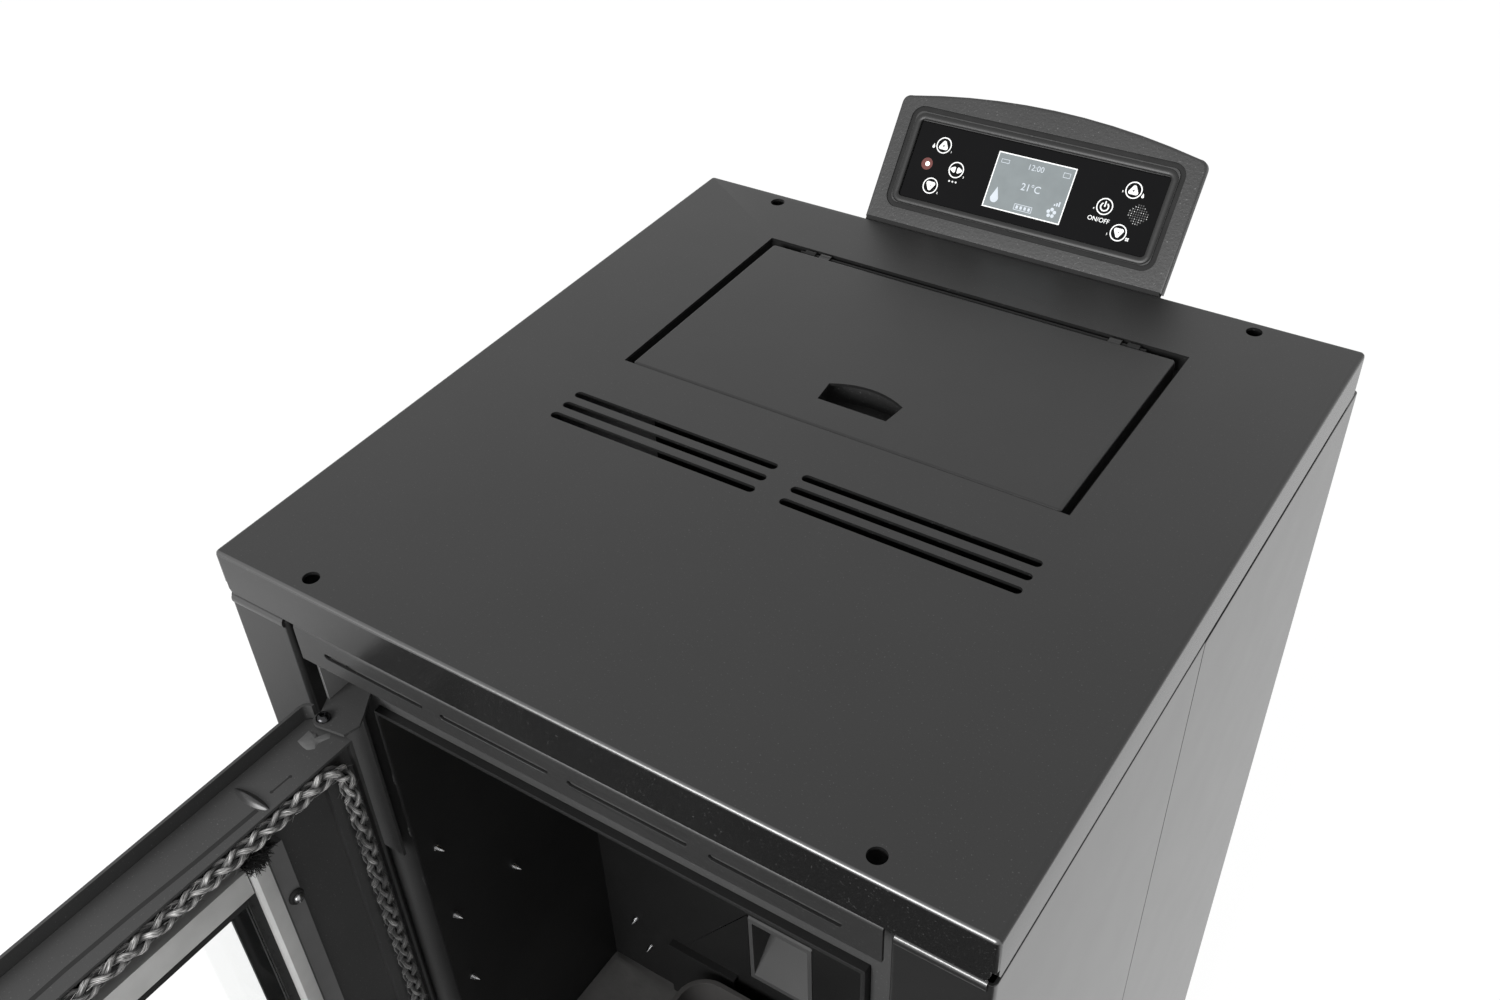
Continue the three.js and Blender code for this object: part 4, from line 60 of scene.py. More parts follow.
PIVOT_X, PIVOT_Y = -170.0, -259.0  # the door's hinge axis
DOOR_OPEN = -91.5  # degrees from closed to open
PANEL_FOOT = (0.0, 250.6, 880.0)  # middle of the control panel's lower edge
PANEL_LEAN = -37.7
STOVE = Matrix.Identity(4)
DOOR = Matrix.Translation((PIVOT_X, PIVOT_Y, 0.0)) @ Matrix.Rotation(math.radians(DOOR_OPEN), 4, "Z")
PANEL = Matrix.Translation(PANEL_FOOT) @ Matrix.Rotation(math.radians(PANEL_LEAN), 4, "X")
BACK, UP, DOWN = (0, 1, 0), (0, 0, 1), (0, 0, -1)

# ---- camera

CAMERA_AT = (0.365, -0.5935, 1.4129)
CAMERA_TURN = (37.75, 41.6, -4.66)  # azimuth, downward tilt and roll in degrees
FOCAL_PIXELS = 1498.9
IMAGE_WIDTH = 1500.0
LENS_SHIFT = (0.0368, 0.0419)


def add_camera():
    azimuth, elevation, roll = (math.radians(a) for a in CAMERA_TURN)
    forward = Vector((
        -math.sin(azimuth) * math.cos(elevation),
        math.cos(azimuth) * math.cos(elevation),
        -math.sin(elevation),
    ))
    level = Vector((math.cos(azimuth), math.sin(azimuth), 0.0))
    upright = level.cross(forward)
    right = level * math.cos(roll) + upright * math.sin(roll)
    up = upright * math.cos(roll) - level * math.sin(roll)
    turn = Matrix((right, up, -forward)).transposed().to_4x4()
    data = bpy.data.cameras.new("camera")
    data.sensor_width = 36.0
    data.lens = data.sensor_width * FOCAL_PIXELS / IMAGE_WIDTH
    data.shift_x, data.shift_y = LENS_SHIFT
    data.clip_start = 0.02
    camera = bpy.data.objects.new("camera", data)
    camera.matrix_world = Matrix.Translation(CAMERA_AT) @ turn
    bpy.context.scene.collection.objects.link(camera)
    bpy.context.scene.camera = camera


# ---- materials

def new_material(name):
    material = bpy.data.materials.new(name)
    material.use_nodes = True
    tree = material.node_tree
    tree.nodes.clear()
    out = tree.nodes.new("ShaderNodeOutputMaterial")
    shader = tree.nodes.new("ShaderNodeBsdfPrincipled")
    tree.links.new(shader.outputs["BSDF"], out.inputs["Surface"])
    return material, tree, shader


def feed(tree, socket, value):
    """Links a socket to the output that drives it, or sets it to a number or colour."""
    if isinstance(value, bpy.types.NodeSocket):
        tree.links.new(value, socket)
    else:
        socket.default_value = value


def fill(tree, node, **values):
    """Feeds a node's inputs by name, with _ for a space."""
    for name, value in values.items():
        feed(tree, node.inputs[name.replace("_", " ")], value)


def noise(tree, scale, detail=2.0, roughness=0.5, stretch=None, source=None):
    """A noise in the object's own space, or in another source's."""
    if source is None:
        source = tree.nodes.new("ShaderNodeTexCoord").outputs["Object"]
    if stretch:
        mapping = tree.nodes.new("ShaderNodeMapping")
        fill(tree, mapping, Scale=stretch, Vector=source)
        source = mapping.outputs["Vector"]
    node = tree.nodes.new("ShaderNodeTexNoise")
    fill(tree, node, Scale=scale, Detail=detail, Roughness=roughness, Vector=source)
    return node.outputs["Fac"]


def ramp(tree, value, *stops):
    """Colours by value: each stop is a position with a colour or a grey."""
    node = tree.nodes.new("ShaderNodeValToRGB")
    elements = node.color_ramp.elements
    while len(elements) < len(stops):
        elements.new(0.5)
    for element, (position, color) in zip(elements, stops):
        element.position = position
        if isinstance(color, (int, float)):
            color = (color, color, color)
        element.color = (*color, 1.0)
    tree.links.new(value, node.inputs["Fac"])
    return node.outputs["Color"]


def beyond(tree, value, start, end, low=0.0, high=1.0):
    """low before start, high past end, and a slope between them."""
    node = tree.nodes.new("ShaderNodeMapRange")
    fill(tree, node, Value=value, From_Min=start, From_Max=end, To_Min=low, To_Max=high)
    return node.outputs["Result"]


def spread(tree, value, low, high):
    """The middle of a noise's range, spread from low to high."""
    return beyond(tree, value, 0.3, 0.7, low, high)


def mixed(tree, share, first, second, kind="RGBA", blend="MIX"):
    """Two colours, or two numbers, mixed by a share."""
    node = tree.nodes.new("ShaderNodeMix")
    node.data_type = kind
    node.blend_type = blend
    fill(tree, node, Factor=share, A=first, B=second)
    return node.outputs["Result"]


def calculate(tree, operation, *values, clamp=False):
    node = tree.nodes.new("ShaderNodeMath")
    node.operation = operation
    node.use_clamp = clamp
    for socket, value in zip(node.inputs, values):
        feed(tree, socket, value)
    return node.outputs["Value"]


def bump(tree, shader, height, strength, distance):
    node = tree.nodes.new("ShaderNodeBump")
    fill(tree, node, Strength=strength, Distance=distance, Height=height)
    tree.links.new(node.outputs["Normal"], shader.inputs["Normal"])


def places(tree):
    """The X, Y and Z of a point on the object."""
    where = tree.nodes.new("ShaderNodeTexCoord")
    split = tree.nodes.new("ShaderNodeSeparateXYZ")
    tree.links.new(where.outputs["Object"], split.inputs["Vector"])
    return [split.outputs[axis] for axis in "XYZ"]


def smoother_lip(tree, sheen, flank, front, rough):
    """Roughness that drops on the upright lip at the flanks and the front."""
    x, y, _ = places(tree)
    sides = beyond(tree, calculate(tree, "ABSOLUTE", x), flank, flank + 0.0008)
    share = calculate(tree, "MAXIMUM", sides, beyond(tree, y, front + 0.0008, front))
    return mixed(tree, share, sheen, rough, kind="FLOAT")


def polished_bend(tree, front, top, plain, polished):
    """Specular level that rises on the bend between the front and the top."""
    _, y, z = places(tree)
    share = calculate(tree, "MULTIPLY", beyond(tree, y, front + 0.0024, front + 0.0018),
                      beyond(tree, z, top - 0.0026, top - 0.0020))
    return beyond(tree, share, 0.0, 1.0, plain, polished)


def paint(name, dark, light, rough, grain=900.0, strength=0.25, flecks=0.0, specular=0.5,
          change=0.02, lip=None, bend=None):
    """Powder coat: a fine orange peel, a slow change of tone and a few light specks."""
    material, tree, shader = new_material(name)
    tone = ramp(tree, noise(tree, 9.0, 3.0), (0.3, dark), (0.7, light))
    if flecks:
        specks = ramp(tree, noise(tree, 900.0, 1.0), (0.68, 0.0), (0.78, 1.0))
        tone = mixed(tree, specks, tone, (flecks, flecks, flecks, 1.0))
    sheen = spread(tree, noise(tree, 30.0, 4.0), rough - change, rough + change)
    if lip:
        sheen = smoother_lip(tree, sheen, *lip)
    level = polished_bend(tree, *bend) if bend else specular
    fill(tree, shader, Base_Color=tone, Roughness=sheen, Specular_IOR_Level=level)
    bump(tree, shader, noise(tree, grain, 3.0, 0.6), strength, 0.0002)
    return material


def metal(name, dark, light, rough, stretch=(1.0, 1.0, 30.0), scale=60.0, strength=0.08):
    """Bare sheet or turned steel: brushed along one direction, with blotches."""
    material, tree, shader = new_material(name)
    blotches = ramp(tree, noise(tree, 22.0, 5.0, 0.6), (0.3, dark), (0.7, light))
    sheen = spread(tree, noise(tree, 40.0, 4.0), rough - 0.06, rough + 0.1)
    fill(tree, shader, Base_Color=blotches, Roughness=sheen, Metallic=1.0)
    bump(tree, shader, noise(tree, scale, 3.0, 0.5, stretch), strength, 0.0004)
    return material


def flat(name, color, rough, metallic=0.0, grain=300.0, strength=0.1, specular=0.5):
    """One colour with a slight change of tone and sheen, and a grain of its own."""
    material, tree, shader = new_material(name)
    tone = ramp(tree, noise(tree, 40.0, 3.0), (0.3, tuple(0.85 * c for c in color)), (0.7, color))
    sheen = spread(tree, noise(tree, 60.0), rough - 0.03, rough + 0.03)
    fill(tree, shader, Base_Color=tone, Roughness=sheen, Metallic=metallic, Specular_IOR_Level=specular)
    bump(tree, shader, noise(tree, grain, 2.0), strength, 0.0002)
    return material


def glowing(name, color, strength, rough=0.4):
    """Lit marks, and printed marks with a painted glow, which keep their tone in the shade."""
    material, tree, shader = new_material(name)
    tone = ramp(tree, noise(tree, 90.0, 2.0), (0.3, tuple(0.9 * c for c in color)), (0.7, color))
    fill(tree, shader, Base_Color=tone, Roughness=rough, Emission_Color=tone, Emission_Strength=strength)
    return material


def clear_glass():
    material, tree, shader = new_material("ceramic_glass")
    sheen = spread(tree, noise(tree, 12.0, 4.0), 0.0, 0.03)
    fill(tree, shader, Base_Color=(0.97, 0.98, 0.975, 1.0), Roughness=sheen, IOR=1.45,
         Transmission_Weight=1.0)
    return material


BLACK_PAINT = paint("satin_black_coat", 0.0085, 0.0105, 0.38, flecks=0.03, change=0.012)
TOP_PAINT = paint("satin_top_coat", 0.0088, 0.0110, 0.38, strength=0.14, flecks=0.05, change=0.012,
                  lip=(0.2388, -0.2482, 0.25), bend=(-0.2485, 0.88, 0.5, 1.4))
# A lighter, more specular copy of the satin black for the side panels: painted light on the sides.
SIDE_PAINT_LIT = paint("satin_side_painted_light", 0.0150, 0.0175, 0.28, strength=0.12, specular=0.85, change=0.006)
STOVE_PAINT = paint("matt_stove_coat", 0.0085, 0.0120, 0.50, grain=500.0, strength=0.35,
                    flecks=0.03, specular=0.38)
DOOR_PAINT = paint("door_coat", 0.041, 0.052, 0.48, grain=700.0, strength=0.3, flecks=0.1,
                   specular=0.36)
RAIL_PAINT = paint("rail_coat", 0.018, 0.024, 0.42, grain=700.0, strength=0.3, flecks=0.06)
IRON = flat("cast_iron_ash", (0.080, 0.077, 0.075), 0.7, 0.3, grain=140.0, strength=0.6)
CHUTE = paint("chute_coat", 0.052, 0.074, 0.6, grain=300.0, strength=0.3, specular=0.3)
HOPPER = paint("hopper_coat", 0.010, 0.014, 0.6, specular=0.2)
RIM_PAINT = paint("smooth_rim", 0.008, 0.011, 0.40, grain=420.0, strength=0.2, specular=0.45,
                  change=0.01)
# A light grey on the hinge bracket's web, which lies in shade: painted light.
WEB_PAINTED_LIGHT = paint("web_painted_light", 0.17, 0.21, 0.5, specular=0.4)
EDGE_PAINT = paint("edge_coat", 0.012, 0.015, 0.30, specular=1.0, change=0.01)
# Lit and shaded copies of the retainers' zinc: pale and little metallic as painted light on the flanges and
# end strips, dark as painted shade on the feet.
RETAINER_LIT = flat("retainer_zinc_painted_light", (0.84, 0.84, 0.83), 0.38, 0.25, grain=90.0, strength=0.15)
END_RETAINER_LIT = flat("end_retainer_zinc_painted_light", (0.60, 0.60, 0.59), 0.36, 0.45, grain=90.0, strength=0.2)
RETAINER_FOOT_SHADED = flat("retainer_foot_painted_shade", (0.17, 0.17, 0.17), 0.42, 0.3, grain=90.0, strength=0.15)
ZINC = metal("galvanised_sheet", (0.42, 0.43, 0.44), (0.56, 0.57, 0.58), 0.30)
MOTOR = metal("motor_steel", (0.30, 0.31, 0.33), (0.42, 0.43, 0.45), 0.28)
SCREW = metal("screw_steel", (0.12, 0.12, 0.125), (0.22, 0.22, 0.23), 0.26)
BLACK_SCREW = metal("blackened_screw", (0.035, 0.035, 0.037), (0.06, 0.06, 0.062), 0.22)
BRIGHT_SCREW = metal("plated_screw", (0.30, 0.30, 0.31), (0.45, 0.45, 0.45), 0.25)
PLASTIC = paint("grained_plastic", 0.018, 0.025, 0.48, grain=520.0, strength=1.0, flecks=0.11)
BLACK_GLASS = flat("black_glass_front", (0.0035, 0.0035, 0.004), 0.06, strength=0.0, specular=0.12)
GLASS = clear_glass()
VERMICULITE = flat("vermiculite_board", (0.42, 0.34, 0.22), 0.95, grain=180.0, strength=0.8)
BOARD = flat("circuit_board", (0.02, 0.13, 0.055), 0.35)
# Flat black: the washers' own black, and painted shade in the pivot screw's socket, along the door frame's
# fold and slit, and in the bezel's groove.
BLACK_AND_SHADE = flat("black_and_painted_shade", (0.006, 0.006, 0.006), 0.8)
WELD = flat("painted_weld", (0.105, 0.105, 0.105), 0.5, grain=240.0, strength=0.8)
LANCE = flat("worn_lance", (0.04, 0.04, 0.04), 0.3, 0.2, grain=200.0, strength=0.15)
TAPE = flat("sooty_fibre_tape", (0.016, 0.016, 0.016), 0.95, grain=500.0, strength=0.9)
DUST = flat("ash_dust", (0.10, 0.098, 0.096), 0.95, grain=260.0, strength=0.9)
# White print with a painted glow; it also draws the painted glints on the sounder's holes.
PRINT_AND_GLINT_GLOW = glowing("white_print_and_glints_painted_glow", (0.86, 0.87, 0.86), 0.35)
# Painted shade in the sounder's holes, with a faint glow.
SOUNDER_HOLE_SHADE = glowing("sounder_hole_painted_shade", (0.05, 0.05, 0.05), 0.1)
DISPLAY = glowing("lit_display", (0.165, 0.186, 0.192), 0.55, 0.25)
DISPLAY_LIGHT = glowing("display_signs", (0.46, 0.50, 0.54), 0.5, 0.3)
LAMP = glowing("lamp_core", (1.0, 0.93, 0.90), 1.4)
GLOW = glowing("lamp_halo", (0.10, 0.022, 0.018), 0.5)

FINISH = {
    "black_paint": BLACK_PAINT,
    "stove_paint": STOVE_PAINT,
    "cast_iron": IRON,
    "zinc_sheet": ZINC,
    "motor_steel": MOTOR,
    "steel_screw": SCREW,
    "black_plastic": PLASTIC,
    "black_glass": BLACK_GLASS,
    "clear_glass": GLASS,
    "rope": PLASTIC,
    "vermiculite": VERMICULITE,
    "green_board": BOARD,
}


# ---- shading of the CAD nodes

def angle_shading(limit_degrees):
    """A modifier's node group that shades smooth and keeps edges over the limit sharp."""
    tree = bpy.data.node_groups.new("angle_shading", "GeometryNodeTree")
    tree.interface.new_socket("Geometry", in_out="INPUT", socket_type="NodeSocketGeometry")
    tree.interface.new_socket("Geometry", in_out="OUTPUT", socket_type="NodeSocketGeometry")
    start = tree.nodes.new("NodeGroupInput")
    end = tree.nodes.new("NodeGroupOutput")
    faces = tree.nodes.new("GeometryNodeSetShadeSmooth")
    faces.domain = "FACE"
    edges = tree.nodes.new("GeometryNodeSetShadeSmooth")
    edges.domain = "EDGE"
    edges.inputs["Shade Smooth"].default_value = False
    angle = tree.nodes.new("GeometryNodeInputMeshEdgeAngle")
    sharp = tree.nodes.new("FunctionNodeCompare")
    sharp.data_type = "FLOAT"
    sharp.operation = "GREATER_THAN"
    sharp.inputs[1].default_value = math.radians(limit_degrees)
    tree.links.new(start.outputs[0], faces.inputs["Geometry"])
    tree.links.new(faces.outputs["Geometry"], edges.inputs["Geometry"])
    tree.links.new(angle.outputs["Unsigned Angle"], sharp.inputs[0])
    tree.links.new(sharp.outputs["Result"], edges.inputs["Selection"])
    tree.links.new(edges.outputs["Geometry"], end.inputs[0])
    return tree


SHADING = angle_shading(38.0)


def smooth(obj, width=0.0):
    """Smooth curves on a mesh and, with a width in millimetres, broken edges, as modifiers."""
    weld = obj.modifiers.new("weld", "WELD")
    weld.merge_threshold = 2e-6
    if width:
        bevel = obj.modifiers.new("bevel", "BEVEL")
        bevel.width = width * MM
        bevel.segments = 2
        bevel.limit_method = "ANGLE"
        bevel.angle_limit = math.radians(50.0)
        bevel.miter_outer = "MITER_ARC"
    shading = obj.modifiers.new("shading", "NODES")
    shading.node_group = SHADING
    even = obj.modifiers.new("even", "WEIGHTED_NORMAL")
    even.keep_sharp = True
    even.weight = 80
    return obj


def set_material(obj, material):
    obj.data.materials.clear()
    obj.data.materials.append(material)


BROKEN_EDGE = 0.35
ROUNDED = {
    "top_plate": 0.95,
    "front_rail": 0.3,
    "firebox": 0.9,
    "top_hinge_bracket": 0.5,
    "bottom_hinge_bracket": 0.5,
    "door_frame": 0.6,
    "door_skin": 0.7,
    "left_front_panel": 0.8,
    "right_front_panel": 0.8,
    "hopper_lid": 0.5,
    "control_bezel": 0.6,
}
LEFT_SHARP = ("door_glass", "door_rope", "auger_screw")
SPECIAL = {
    DOOR_PAINT: ("door_frame", "door_skin", "top_hinge_bracket", "bottom_hinge_bracket", "front_plate"),
    SIDE_PAINT_LIT: ("left_rear_panel", "right_rear_panel", "right_front_panel"),
    RAIL_PAINT: ("front_rail",),
    TOP_PAINT: ("top_plate",),
    CHUTE: ("pellet_chute",),
    HOPPER: ("hopper", "lid_hinge_pin"),
    END_RETAINER_LIT: ("top_glass_retainer", "bottom_glass_retainer"),
}


def dress_nodes():
    slots = {s["node"]: s["material_slot"] for s in frame["record"]["subparts"]}
    for name, obj in nodes.items():
        set_material(obj, FINISH[slots[name]])
        if name not in LEFT_SHARP:
            smooth(obj, ROUNDED.get(name, BROKEN_EDGE))
    for material, names in SPECIAL.items():
        for name in names:
            set_material(nodes[name], material)


# ---- making pieces

def place(name, form, matrix, material, body):
    """A piece from a form in millimetres, set in one of the frames and riding on a body."""
    verts, faces = form
    mesh = bpy.data.meshes.new(name)
    mesh.from_pydata([tuple((matrix @ Vector(v)) * MM) for v in verts], [], faces)
    mesh.validate()
    mesh.update()
    obj = bpy.data.objects.new(name, mesh)
    bpy.context.scene.collection.objects.link(obj)
    mesh.materials.append(material)
    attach(obj, body)
    return obj


# ---- mesh forms, in millimetres

def arc(x, y, r, start=0.0, end=360.0, steps=24):
    """Points on an arc between two angles in degrees, both ends included."""
    angles = [math.radians(start + (end - start) * k / steps) for k in range(steps + 1)]
    return [(x + r * math.cos(a), y + r * math.sin(a)) for a in angles]


def skin(rings, sides, closed=False, open_rings=False):
    """Faces between rings of points: closed joins the last ring to the first."""
    faces = []
    for k in range(rings if closed else rings - 1):
        n = (k + 1) % rings
        for j in range(sides - 1 if open_rings else sides):
            m = (j + 1) % sides
            faces.append((k * sides + j, k * sides + m, n * sides + m, n * sides + j))
    return faces


def caps(rings, sides):
    """The end faces of a stack of rings."""
    return [tuple(reversed(range(sides))), tuple(range((rings - 1) * sides, rings * sides))]


def turned_over(faces):
    return [(face[0], *face[:0:-1]) for face in faces]


def tube(points, radii, sides=8):
    """A round rod along a path, with a radius for each of its points."""
    verts = []
    normal = None
    for k, point in enumerate(points):
        tangent = (Vector(points[min(k + 1, len(points) - 1)]) - Vector(points[max(k - 1, 0)])).normalized()
        if normal is None:
            normal = tangent.orthogonal().normalized()
        normal = (normal - tangent * normal.dot(tangent)).normalized()
        side = tangent.cross(normal)
        for j in range(sides):
            a = 2 * math.pi * j / sides
            verts.append(tuple(Vector(point) + (normal * math.cos(a) + side * math.sin(a)) * radii[k]))
    return verts, skin(len(points), sides) + caps(len(points), sides)


def lathe(profile, segments=24):
    """A turned form about Z from (radius, height) pairs, bottom first, closed at both ends."""
    verts = [(x, y, z) for r, z in profile for x, y in arc(0, 0, r, steps=segments)[:-1]]
    return verts, skin(len(profile), segments) + caps(len(profile), segments)


def slab(points, z0, z1):
    """A flat plate from an outline that runs counter-clockwise."""
    verts = [(x, y, z) for z in (z0, z1) for x, y in points]
    return verts, caps(2, len(points)) + skin(2, len(points))


def block(x0, x1, y0, y1, z0, z1):
    return slab([(x0, y0), (x1, y0), (x1, y1), (x0, y1)], z0, z1)


def merge(*parts):
    verts, faces = [], []
    for part_verts, part_faces in parts:
        base = len(verts)
        verts.extend(part_verts)
        faces.extend(tuple(base + i for i in face) for face in part_faces)
    return verts, faces


def moved(part, matrix):
    return [tuple(matrix @ Vector(v)) for v in part[0]], part[1]


def aimed(x, y, z, direction):
    """Puts a form drawn along +Z at a point, pointing in a direction."""
    turn = Vector(UP).rotation_difference(Vector(direction)).to_matrix().to_4x4()
    return Matrix.Translation((x, y, z)) @ turn


def profile_bar(points, thickness, z0, z1, steps):
    """A folded strip: a polyline in X and Y with a thickness to its left, run from z0 to z1."""
    left = []
    for k, p in enumerate(points):
        a = Vector(points[max(k - 1, 0)])
        b = Vector(points[min(k + 1, len(points) - 1)])
        d = (b - a).normalized()
        left.append((p[0] - d.y * thickness, p[1] + d.x * thickness))
    ring = list(points) + left[::-1]
    count = len(ring)
    verts = [(x, y, z0 + (z1 - z0) * s / steps) for s in range(steps + 1) for x, y in ring]
    faces = skin(steps + 1, count)
    top = steps * count
    for k in range(count // 2 - 1):
        a, b, c, d = k, k + 1, count - 2 - k, count - 1 - k
        faces.append((d, c, b, a))
        faces.append((top + a, top + b, top + c, top + d))
    return verts, faces


# ---- braided door rope

ROPE_U, ROPE_Z = (12.7, 337.7), (241.5, 779.5)  # the loop's centre line in the door's plane
ROPE_D = 23.6  # its depth behind the hinge axis
ROPE_CORNER = 12.0
ROPE_QUARTER = math.pi * ROPE_CORNER / 2
ROPE_RUNS = [high - low - 2 * ROPE_CORNER for low, high in (ROPE_Z, ROPE_U)]
ROPE_LENGTH = 2 * sum(ROPE_RUNS) + 4 * ROPE_QUARTER
BRAID_TURNS = 36
BRAID_RADIUS = 3.0
BRAID_WAVE = 1.15
STRAND_SIDES = 6
LOOSE_FIBRES = 2600


def loop_point(s):
    """Place and direction on the rope's loop at a distance s, in the door's own frame."""
    (u0, u1), (z0, z1), r = ROPE_U, ROPE_Z, ROPE_CORNER
    legs = (
        ((u0, z0 + r), (0, 1), ROPE_RUNS[0], (u0 + r, z1 - r), math.pi),
        ((u0 + r, z1), (1, 0), ROPE_RUNS[1], (u1 - r, z1 - r), math.pi / 2),
        ((u1, z1 - r), (0, -1), ROPE_RUNS[0], (u1 - r, z0 + r), 0.0),
        ((u1 - r, z0), (-1, 0), ROPE_RUNS[1], (u0 + r, z0 + r), -math.pi / 2),
    )
    s %= ROPE_LENGTH
    for start, way, run, centre, angle in legs:
        if s <= run:
            return (start[0] + way[0] * s, start[1] + way[1] * s), way
        s -= run
        if s <= ROPE_QUARTER:
            a = angle - s / r
            return (centre[0] + r * math.cos(a), centre[1] + r * math.sin(a)), (math.sin(a), -math.cos(a))
        s -= ROPE_QUARTER
    return legs[0][:2]


def rope_frame(s):
    """Centre, direction, outward and across at a distance along the rope."""
    (u, z), (du, dz) = loop_point(s)
    return Vector((u, ROPE_D, z)), Vector((du, 0.0, dz)), Vector((-dz, 0.0, du)), Vector((0.0, 1.0, 0.0))


def strand(family, index, step):
    """One flattened strand of a round braid, over and under its neighbours."""
    rings = round(ROPE_LENGTH / step)
    verts, marks = [], []
    for k in range(rings):
        s = ROPE_LENGTH * k / rings
        w = 2 * math.pi * BRAID_TURNS * k / rings
        theta = family * w + 2 * math.pi * index / 3
        slow = 0.5 * math.sin(1.7 * w + 2.1 * index + family) + 0.35 * math.sin(4.3 * w + index)
        radius = BRAID_RADIUS + family * BRAID_WAVE * math.cos(3 * w) + 0.35 * slow
        centre, tangent, outward, across = rope_frame(s)
        ray = outward * math.cos(theta) + across * math.sin(theta)
        ring = outward * -math.sin(theta) + across * math.cos(theta)
        climb = family * 2 * math.pi * BRAID_TURNS / ROPE_LENGTH * radius
        width = (tangent + ring * climb).normalized().cross(ray).normalized()
        wide = 1.75 + 0.45 * slow
        tall = 1.3 + 0.15 * math.sin(5 * w + index)
        for j in range(STRAND_SIDES):
            a = 2 * math.pi * j / STRAND_SIDES
            reach = radius + tall * math.sin(a)
            verts.append(tuple(centre + ray * reach + width * (wide * math.cos(a))))
            # how deep the point lies in the braid, which the material turns into painted shade
            depth = (reach - 2.2) / 2.9
            marks.append((s / 40.0, j / STRAND_SIDES, min(max(depth, 0.0), 1.0)))
    return verts, skin(rings, STRAND_SIDES, closed=True), marks


def fibre(start, direction, length, radius, bend, rng):
    """A loose fibre: a thin tapering hair with one bend."""
    d = Vector(direction).normalized()
    side = d.orthogonal().normalized()
    side.rotate(Matrix.Rotation(rng.uniform(0, 2 * math.pi), 3, d))
    points = [tuple(Vector(start) + d * (length * t) + side * (bend * t * t)) for t in (0, 1 / 3, 2 / 3, 1)]
    return tube(points, [radius, radius, radius * 0.8, radius * 0.3], 3)


def rope_material():
    """Glass-fibre yarn, pale along the top run and darker below it, in patches; painted shade in its hollows.
    """
    material, tree, shader = new_material("braided_glass_fibre")
    along = tree.nodes.new("ShaderNodeUVMap").outputs["UV"]
    yarn = noise(tree, 1.6, 4.0, stretch=(5.0, 16.0, 1.0), source=along)
    pale = ramp(tree, yarn, (0.38, (0.025, 0.025, 0.024)), (0.50, (0.36, 0.355, 0.35)),
                (0.62, (1.0, 0.99, 0.97)))
    lower_tone = ramp(tree, yarn, (0.40, 0.006), (0.54, (0.045, 0.044, 0.043)), (0.70, (0.22, 0.216, 0.21)))
    height = beyond(tree, places(tree)[2], 0.725, 0.772)
    patches = beyond(tree, noise(tree, 55.0, 3.0), 0.35, 0.65, -0.1, 0.3)
    tone = mixed(tree, calculate(tree, "MULTIPLY_ADD", height, 0.8, patches, clamp=True), lower_tone, pale)
    depth = tree.nodes.new("ShaderNodeAttribute")
    depth.attribute_name = "depth"
    # painted shade, darker where a strand dips under its neighbours
    hollow_shade = ramp(tree, depth.outputs["Fac"], (0.15, 0.03), (0.55, 0.32), (0.88, 1.0))
    tone = mixed(tree, 1.0, tone, hollow_shade, blend="MULTIPLY")
    fill(tree, shader, Base_Color=tone, Roughness=0.75, Sheen_Weight=0.25)
    bump(tree, shader, yarn, 0.7, 0.0006)
    return material


def add_rope():
    rng = random.Random(4)
    step = 2.2
    parts, marks = [], []
    for family in (1, -1):
        for index in range(3):
            verts, faces, strand_marks = strand(family, index, step)
            parts.append((verts, faces))
            marks.extend(strand_marks)
    for _ in range(LOOSE_FIBRES):
        centre, tangent, outward, across = rope_frame(rng.uniform(0, ROPE_LENGTH))
        theta = rng.uniform(0, 2 * math.pi)
        ray = outward * math.cos(theta) + across * math.sin(theta)
        lean = outward * math.cos(theta) + across * (0.35 * math.sin(theta))
        way = lean * rng.uniform(0.15, 0.8) + tangent * rng.choice((-1, 1)) * rng.uniform(0.5, 1.0)
        start = centre + ray * rng.uniform(3.6, 4.6)
        hair = fibre(start, way, rng.uniform(2.0, 6.0), 0.09, rng.uniform(-1.0, 1.0), rng)
        parts.append(hair)
        tone = rng.uniform(0, 4)
        marks.extend([(tone, rng.uniform(0, 1), 0.8)] * len(hair[0]))
    rope = place("braided_rope", merge(*parts), DOOR, rope_material(), "fire_door")
    layer = rope.data.uv_layers.new(name="yarn")
    for loop in rope.data.loops:
        layer.data[loop.index].uv = marks[loop.vertex_index][:2]
    depth = rope.data.attributes.new("depth", "FLOAT", "POINT")
    depth.data.foreach_set("value", [mark[2] for mark in marks])
    for face in rope.data.polygons:
        face.use_smooth = True
    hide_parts("door_rope")
    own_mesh(rope)


# ---- fasteners

PIVOT_TOP, PIVOT_LOW = 792.1, 228.9  # undersides of the pivot screws' heads
FIREBOX_LEFT, FIREBOX_RIGHT, FIREBOX_BACK = -155.8, 166.2, -71.0
SIDE_SCREWS = ((-219, 639), (-219, 565), (-219, 491), (-159.5, 552), (-219, 400), (-110, 640))
BACK_WALL_SCREWS = ((-128, 402), (-116, 373), (140, 402))
RETAINER_U, RETAINER_Z = (65.5, 284.5), (400, 552, 715)
RETAINER_D, WASHER_D = 23.4, 21.5  # depths of the heads and the washers
CASING_BACK = 257.9


